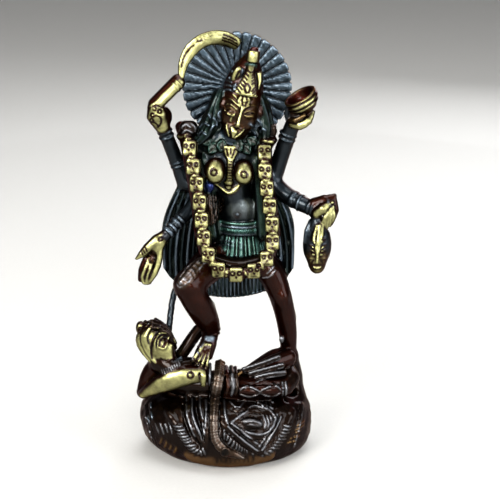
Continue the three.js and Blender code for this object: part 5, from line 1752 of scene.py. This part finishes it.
def antique_brass(colours, grain_size):
    """Antique brass: sand cast, darkened in the flame, lacquered, and relieved on its high points.

    The eye gets bright, slightly green brass on the relief, dark coloured patina under a clear lacquer
    in between, and the fine unevenness of a sand mould."""
    material = bpy.data.materials.new("antique_brass_sand_cast")
    material.use_nodes = True
    tree = material.node_tree
    tree.nodes.clear()
    place = add_node(tree, "TexCoord", "place").outputs["Object"]
    # The patina attribute holds painted highlights and shade, and the polish is lower on sides turned from
    # the front, partly as painted shade.
    patina = add_node(tree, "Attribute", "patina", attribute_name="patina").outputs["Color"]
    polish = add_node(tree, "Attribute", "polish", attribute_name="polish").outputs["Fac"]
    cloud_size, pit_gap = 4.0, 1.2  # mm
    cloud = add_node(tree, "TexNoise", "clouds in the patina", {"Vector": place},
                     {"Scale": 1 / (cloud_size * METRES), "Detail": 4.0, "Roughness": 0.6}).outputs["Fac"]
    grain = add_node(tree, "TexNoise", "sand grain, drawn coarser than real so that it shows",
                     {"Vector": place},
                     {"Scale": 1 / grain_size, "Detail": 3.0, "Roughness": 0.55}).outputs["Fac"]
    pits = add_node(tree, "TexVoronoi", "casting pits", {"Vector": place},
                    {"Scale": 1 / (pit_gap * METRES), "Randomness": 1.0}).outputs["Distance"]

    patches = {"From Min": 0.25, "From Max": 0.75, "To Min": -0.08, "To Max": 0.08}
    uneven = add_node(tree, "MapRange", "uneven polish", {"Value": cloud}, patches).outputs["Result"]
    rubbed = add_node(tree, "Math", "polish with patches", {0: polish, 1: uneven},
                      operation="ADD").outputs["Value"]
    bare = add_node(tree, "MapRange", "where the brass shows", {"Value": rubbed},
                    {"From Min": 0.12, "From Max": 0.78}, interpolation_type="SMOOTHSTEP").outputs["Result"]
    shade = add_node(tree, "MapRange", "cloudy patina", {"Value": cloud},
                     {"From Min": 0.3, "From Max": 0.7, "To Min": 0.8, "To Max": 1.18}).outputs["Result"]
    cloudy = add_node(tree, "VectorMath", "patina with clouds", {0: patina, 1: shade},
                      operation="MULTIPLY").outputs["Vector"]
    brass = add_node(tree, "Mix", "brass, greener in places", {0: cloud},
                     {6: (*linear(colours.brass), 1), 7: (*linear(colours.brass_green), 1)},
                     data_type="RGBA")
    base = add_node(tree, "Mix", "brass or patina", {0: bare, 6: cloudy, 7: brass.outputs[2]},
                    data_type="RGBA").outputs[2]
    smooth = add_node(tree, "MapRange", "smoother where polished", {"Value": bare},
                      {"To Min": 0.4, "To Max": 0.34}).outputs["Result"]
    gloss = add_node(tree, "MapRange", "uneven gloss", {"Value": grain},
                     {"From Min": 0.3, "From Max": 0.7, "To Min": -0.07, "To Max": 0.07}).outputs["Result"]
    roughness = add_node(tree, "Math", "roughness", {0: smooth, 1: gloss},
                         operation="ADD").outputs["Value"]
    sandy = add_node(tree, "Bump", "sand grain", {"Height": grain},
                     {"Strength": 0.35, "Distance": 0.12 * METRES}).outputs["Normal"]
    pitted = add_node(tree, "Bump", "casting pits", {"Height": pits, "Normal": sandy},
                      {"Strength": 0.2, "Distance": 0.2 * METRES}).outputs["Normal"]
    shine = {"Metallic": 1.0, "Specular Tint": (0.5, 0.36, 0.24, 1.0), "Coat Weight": 0.16,
             "Coat Roughness": 0.12}
    metal = add_node(tree, "BsdfPrincipled", "cast brass",
                     {"Base Color": base, "Roughness": roughness, "Normal": pitted}, shine)
    add_node(tree, "OutputMaterial", "surface", {"Surface": metal.outputs["BSDF"]})
    return material


def cast_in_brass(clay, sizes, colours):
    """Turns the clay into the casting: one mesh with its patina, with painted highlights and shade, and its
    polish at each vertex.
    """
    points, faces = skin_of(clay)
    heavy = mesh_from("heavy", points, faces)
    heights = points[:, 2]
    kept_fine = 0.5 * eased(-6, -14, points[:, 1]) + 0.3 * eased(40, 60, heights)
    kept_fine += 0.2 * eased(150, 160, heights)
    mesh = thinned(heavy, min(sizes.triangles / len(faces), 1.0), np.clip(kept_fine, 0, 1))
    mesh.name = CASTING
    mesh.polygons.foreach_set("use_smooth", np.ones(len(mesh.polygons), bool))
    corners = np.empty(3 * len(mesh.vertices), np.float32)
    mesh.vertices.foreach_get("co", corners)
    corners = corners.reshape(-1, 3).astype(np.float64)
    corners[:, 2] = np.maximum(corners[:, 2], 0)
    normals = np.empty(3 * len(mesh.vertices), np.float32)
    mesh.vertices.foreach_get("normal", normals)
    palette = {name: linear(getattr(colours, name)) for pair in FINISHES.values() for name in pair[:2]}
    # The patina colour carries painted highlights and shade as well as the patina.
    tone, polish = painted(clay, corners, normals.reshape(-1, 3), palette)
    opaque = np.column_stack([tone, np.ones(len(tone))]).astype(np.float32)
    mesh.attributes.new("patina", "FLOAT_COLOR", "POINT").data.foreach_set("color", opaque.ravel())
    mesh.attributes.new("polish", "FLOAT", "POINT").data.foreach_set("value", polish.astype(np.float32))
    mesh.vertices.foreach_set("co", (corners * METRES).astype(np.float32).ravel())
    mesh.update()
    casting = bpy.data.objects.new(CASTING, mesh)
    bpy.context.scene.collection.objects.link(casting)
    mesh.materials.append(antique_brass(colours, sizes.grain))
    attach(casting, "root")
    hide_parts(NODE)
    return casting


def backdrop_paper(colours):
    """Backdrop paper: matt, uncoated paper pulled off a roll. The eye gets an even, pale ground."""
    material = bpy.data.materials.new("backdrop_paper_matt")
    material.use_nodes = True
    tree = material.node_tree
    shader = tree.nodes["Principled BSDF"]
    place = add_node(tree, "TexCoord", "place").outputs["Object"]
    fibre_size = 1.5  # mm, drawn coarser than real fibres so that it shows
    fibres = add_node(tree, "TexNoise", "fibres", {"Vector": place},
                      {"Scale": 1 / (fibre_size * METRES), "Detail": 2.0}).outputs["Fac"]
    tint = add_node(tree, "Mix", "tint", {0: fibres},
                    {6: (*linear(colours.paper), 1), 7: (*linear(colours.paper_shade), 1)},
                    data_type="RGBA")
    tree.links.new(tint.outputs[2], shader.inputs["Base Color"])
    shader.inputs["Roughness"].default_value = 0.9
    return material


def soft_light(name, place, aim, size, power, colour):
    data = bpy.data.lights.new(name, "AREA")
    data.shape = "RECTANGLE"
    data.size, data.size_y = size
    data.energy = power
    data.color = colour
    lamp = bpy.data.objects.new(name, data)
    lamp.location = place
    lamp.rotation_euler = (Vector(aim) - Vector(place)).to_track_quat("-Z", "Y").to_euler()
    bpy.context.scene.collection.objects.link(lamp)
    return lamp


CAMERA_PLACE = (0.012567, -0.612035, 0.286916)
CAMERA_PITCH = 73.0  # degrees from looking straight down
LENS = 98.3
SENSOR = 36.0
LIGHT_AIM = (0.0, 0.0, 0.1)
# Each soft light: its name, place and size in metres, share of the key light's power, and colour.
STUDIO_LIGHTS = (
    ("key", (-0.7, -0.95, 0.85), (0.6, 0.6), 1.0, (1.0, 1.0, 0.97)),
    ("front", (0.25, -1.2, 0.45), (0.6, 0.35), 0.45, (1.0, 0.99, 0.97)),
    ("fill", (0.9, -0.5, 0.4), (0.6, 0.8), 0.3, (0.93, 0.96, 1.0)),
    ("top", (0.05, 0.05, 0.95), (0.7, 0.5), 0.3, (0.95, 0.98, 1.0)),
    ("back", (0.35, 0.7, 0.5), (0.4, 0.6), 0.15, (0.93, 0.96, 1.0)),
)
WASH_HEIGHT = 3.0
WASH_SIZE = (10.0, 10.0)


def set_stage(stage, colours):
    """A pale floor, soft studio light from the upper left and the front, and the camera."""
    span = stage.floor
    floor = mesh_from("floor", [(-span, -span, 0), (span, -span, 0), (span, span, 0), (-span, span, 0)],
                      np.array([[0, 1, 2, 3]]))
    sheet = bpy.data.objects.new("floor", floor)
    floor.materials.append(backdrop_paper(colours))
    bpy.context.scene.collection.objects.link(sheet)
    for name, place, size, share, colour in STUDIO_LIGHTS:
        soft_light(name, place, LIGHT_AIM, size, stage.key * share, colour)
    wash = soft_light("floor_wash", (0, 0, WASH_HEIGHT), (0, 0, 0), WASH_SIZE, stage.wash, (1.0, 1.0, 1.0))
    lit = bpy.data.collections.new("lit_by_floor_wash")
    lit.objects.link(sheet)
    wash.light_linking.receiver_collection = lit
    world = bpy.data.worlds.new("studio")
    world.use_nodes = True
    surround = world.node_tree.nodes["Background"]
    surround.inputs["Color"].default_value = (*linear(colours.surround), 1)
    surround.inputs["Strength"].default_value = stage.surround
    bpy.context.scene.world = world

    bpy.context.scene.view_settings.view_transform = "Standard"  # keeps the contrast of polished brass

    view = bpy.data.cameras.new("camera")
    view.sensor_width = SENSOR
    view.lens = LENS
    view.clip_start = 0.01
    camera = bpy.data.objects.new("camera", view)
    camera.location = CAMERA_PLACE
    camera.rotation_euler = (math.radians(CAMERA_PITCH), 0, 0)
    bpy.context.scene.collection.objects.link(camera)
    bpy.context.scene.camera = camera


def length_property(name, description, default, low, high):
    return bpy.props.FloatProperty(name=name, description=description, default=default, min=low, max=high,
                                   subtype="DISTANCE", unit="LENGTH", precision=4)


def count_property(name, description, default, low, high):
    return bpy.props.IntProperty(name=name, description=description, default=default, min=low, max=high)


def light_property(name, description, default):
    return bpy.props.FloatProperty(name=name, description=description, default=default, min=0.0)


def colour_property(name, description, default):
    description += ", as an sRGB hex colour"
    return bpy.props.StringProperty(name=name, description=description, default=default)


class KALI_PG_sizes(bpy.types.PropertyGroup):
    cell: length_property("Clay cell", "Spacing of the grid that the clay is modelled on",
                          0.00036, 0.0003, 0.001)
    triangles: count_property("Triangles", "Faces that the casting's mesh may have", 190000, 20000, 199000)
    rays: count_property("Rays", "Rays of the halo", 32, 12, 60)
    skulls: count_property("Skulls", "Skulls on the garland", 19, 8, 26)
    strands: count_property("Strands", "Strands of the loose hair", 30, 10, 60)
    strips: count_property("Strips", "Pairs of strips on the girdle", 17, 8, 30)
    grain: length_property("Sand grain", "Size of the sand grain drawn on the casting",
                           0.0006, 0.0002, 0.003)


class KALI_PG_colours(bpy.types.PropertyGroup):
    # The worn colours below also paint the highlights and glints on ridges.
    brass: colour_property("Brass", "Polished brass", "#f2f0a8")
    brass_green: colour_property("Greenish brass", "Brass under thin lacquer", "#dfdf90")
    slate: colour_property("Slate patina", "Patina of the halo and the neck", "#2a343c")
    steel_blue: colour_property("Worn slate", "Worn ridges on the slate patina and the bangles", "#74828f")
    indigo: colour_property("Indigo patina", "Patina of the arms and the chest", "#1a1f23")
    lapis: colour_property("Deep blue", "Patch of deep blue patina beside the chest", "#101a40")
    dark_green: colour_property("Dark green", "Patina of the hair and the collar", "#0f1914")
    # Painted highlights and glints: the belly sheen, the thigh patches and the ankle glint.
    pearl_highlight: colour_property("Pearl", "Palest worn spots", "#b3b8c2")
    verdigris: colour_property("Verdigris", "Patina of the girdle", "#203b37")
    pale_verdigris: colour_property("Worn verdigris", "Worn ridges of the girdle", "#587469")
    # Paler than the torso's patina, as a painted sheen on the belly.
    belly_sheen: colour_property("Belly patina", "Pale patina of the belly", "#484e50")
    # Its red cast is partly a painted red reflection, and it shows as painted shade where the gold turns
    # from the front.
    umber: colour_property("Umber patina", "Lacquered brown of the legs and under the gold", "#1e0904")
    rust: colour_property("Rust patina", "Warm brown of the face", "#2b1b0e")
    tan: colour_property("Worn rust", "Worn ridges on the rust patina", "#766238")
    soot: colour_property("Soot patina", "Patina of the mound and dirt in engraved lines", "#120905")
    ridge_grey: colour_property("Ridge grey", "Worn scales of the snake", "#6f6b66")
    # Worn tin-grey lines, which also paint the glints on them.
    tin: colour_property("Tin grey", "Pale worn lines on the mound and the sash", "#94979d")
    warm_bronze: colour_property("Warm bronze", "Warm patina at the foot of the mound", "#553d26")
    bronze: colour_property("Bronze patina", "Patina of the snake and worn spots of the mound", "#3a2c22")
    # On the garland's flank this red is a painted reflection.
    lacquer: colour_property("Red lacquer", "Dark red of the bowl and of shaded flanks", "#300c08")
    hollow: colour_property("Hollows", "Dirt in the hollows of the skulls and in the mouth", "#120b06")
    paper: colour_property("Paper", "Floor of the stage", "#807e7b")
    paper_shade: colour_property("Paper shade", "Fibres of the floor", "#7b7976")
    surround: colour_property("Surround", "Light of the room", "#dfe5ea")


class KALI_PG_stage(bpy.types.PropertyGroup):
    floor: length_property("Floor", "Half width of the floor", 4.0, 0.5, 20.0)
    key: light_property("Key light", "Power of the key light in watts", 40.0)
    wash: light_property("Floor wash", "Power of the even light on the floor alone, in watts", 240.0)
    surround: light_property("Surround", "Strength of the room light", 0.28)


class Bench:
    """Where the clay stands while the operators work on it."""

    clay = None


class KALI_OT_block(bpy.types.Operator):
    """Set up an empty block for the clay, a little larger than the part"""

    bl_idname = "kali.block"
    bl_label = "New block"

    def execute(self, context):
        margin = 1.6
        cell = context.scene.kali_sizes.cell / METRES
        Bench.clay = Clay(NODE_LOW - margin, NODE_HIGH + margin, cell)
        return {"FINISHED"}


class KALI_OT_mound(bpy.types.Operator):
    """Model the mound and the hide that hangs over it"""

    bl_idname = "kali.mound"
    bl_label = "Mound and hide"

    def execute(self, context):
        model_mound(Bench.clay)
        return {"FINISHED"}


class KALI_OT_lying_figure(bpy.types.Operator):
    """Model the figure that lies on the mound, and the snake over its body"""

    bl_idname = "kali.lying_figure"
    bl_label = "Lying figure and snake"

    def execute(self, context):
        model_lying_figure(Bench.clay)
        model_snake(Bench.clay)
        return {"FINISHED"}


class KALI_OT_hair(bpy.types.Operator):
    """Model the loose hair behind the body and the casting props"""

    bl_idname = "kali.hair"
    bl_label = "Loose hair and props"

    def execute(self, context):
        model_hair(Bench.clay, context.scene.kali_sizes.strands)
        model_props(Bench.clay)
        return {"FINISHED"}


class KALI_OT_body(bpy.types.Operator):
    """Model the legs, the torso with its jewellery and the girdle"""

    bl_idname = "kali.body"
    bl_label = "Legs, torso and girdle"

    def execute(self, context):
        model_legs(Bench.clay)
        model_torso(Bench.clay)
        model_girdle(Bench.clay, context.scene.kali_sizes.strips)
        return {"FINISHED"}


class KALI_OT_garland(bpy.types.Operator):
    """Model the garland of skulls"""

    bl_idname = "kali.garland"
    bl_label = "Garland of skulls"

    def execute(self, context):
        model_garland(Bench.clay, context.scene.kali_sizes.skulls)
        return {"FINISHED"}


class KALI_OT_arms(bpy.types.Operator):
    """Model the four arms, their hands and what they hold"""

    bl_idname = "kali.arms"
    bl_label = "Arms and attributes"

    def execute(self, context):
        clay = Bench.clay
        model_arms(clay)
        model_sword_hand(clay)
        model_sword(clay)
        model_bowl(clay)
        model_open_hand(clay)
        model_grip_hand(clay)
        model_severed_head(clay)
        return {"FINISHED"}


class KALI_OT_head(bpy.types.Operator):
    """Model the halo, the head, its hair and the crown"""

    bl_idname = "kali.head"
    bl_label = "Halo, head and crown"

    def execute(self, context):
        clay = Bench.clay
        model_halo(clay, context.scene.kali_sizes.rays)
        model_head(clay)
        model_side_hair(clay)
        model_crown(clay)
        return {"FINISHED"}


class KALI_OT_casting(bpy.types.Operator):
    """Cast the clay in brass and give it its patina"""

    bl_idname = "kali.casting"
    bl_label = "Cast and patinate"

    def execute(self, context):
        scene = context.scene
        cast_in_brass(Bench.clay, scene.kali_sizes, scene.kali_colours)
        return {"FINISHED"}


class KALI_OT_stage(bpy.types.Operator):
    """Set the floor, the lights and the camera"""

    bl_idname = "kali.stage"
    bl_label = "Stage"

    def execute(self, context):
        scene = context.scene
        set_stage(scene.kali_stage, scene.kali_colours)
        return {"FINISHED"}


class KALI_PT_panel(bpy.types.Panel):
    """Sizes, colours and steps of the figure"""

    bl_idname = "KALI_PT_panel"
    bl_label = "Kali figure"
    bl_space_type = "VIEW_3D"
    bl_region_type = "UI"
    bl_category = "Kali figure"

    def draw(self, context):
        for group in (context.scene.kali_sizes, context.scene.kali_colours, context.scene.kali_stage):
            box = self.layout.box()
            for name in group.bl_rna.properties.keys():
                if name not in ("rna_type", "name"):
                    box.prop(group, name)
        for step in STEPS:
            self.layout.operator(step.bl_idname)


STEPS = (
    KALI_OT_block, KALI_OT_mound, KALI_OT_lying_figure, KALI_OT_hair, KALI_OT_body, KALI_OT_garland,
    KALI_OT_arms, KALI_OT_head, KALI_OT_casting, KALI_OT_stage,
)
GROUPS = {"kali_sizes": KALI_PG_sizes, "kali_colours": KALI_PG_colours, "kali_stage": KALI_PG_stage}


def register():
    for kind in (*GROUPS.values(), *STEPS, KALI_PT_panel):
        bpy.utils.register_class(kind)
    for name, group in GROUPS.items():
        setattr(bpy.types.Scene, name, bpy.props.PointerProperty(type=group))


def unregister():
    for name in GROUPS:
        delattr(bpy.types.Scene, name)
    for kind in reversed((*GROUPS.values(), *STEPS, KALI_PT_panel)):
        bpy.utils.unregister_class(kind)


def main():
    register()
    bpy.ops.kali.block()
    bpy.ops.kali.mound()
    bpy.ops.kali.lying_figure()
    bpy.ops.kali.hair()
    bpy.ops.kali.body()
    bpy.ops.kali.garland()
    bpy.ops.kali.arms()
    bpy.ops.kali.head()
    bpy.ops.kali.casting()
    bpy.ops.kali.stage()


if __name__ == "__main__":
    main()
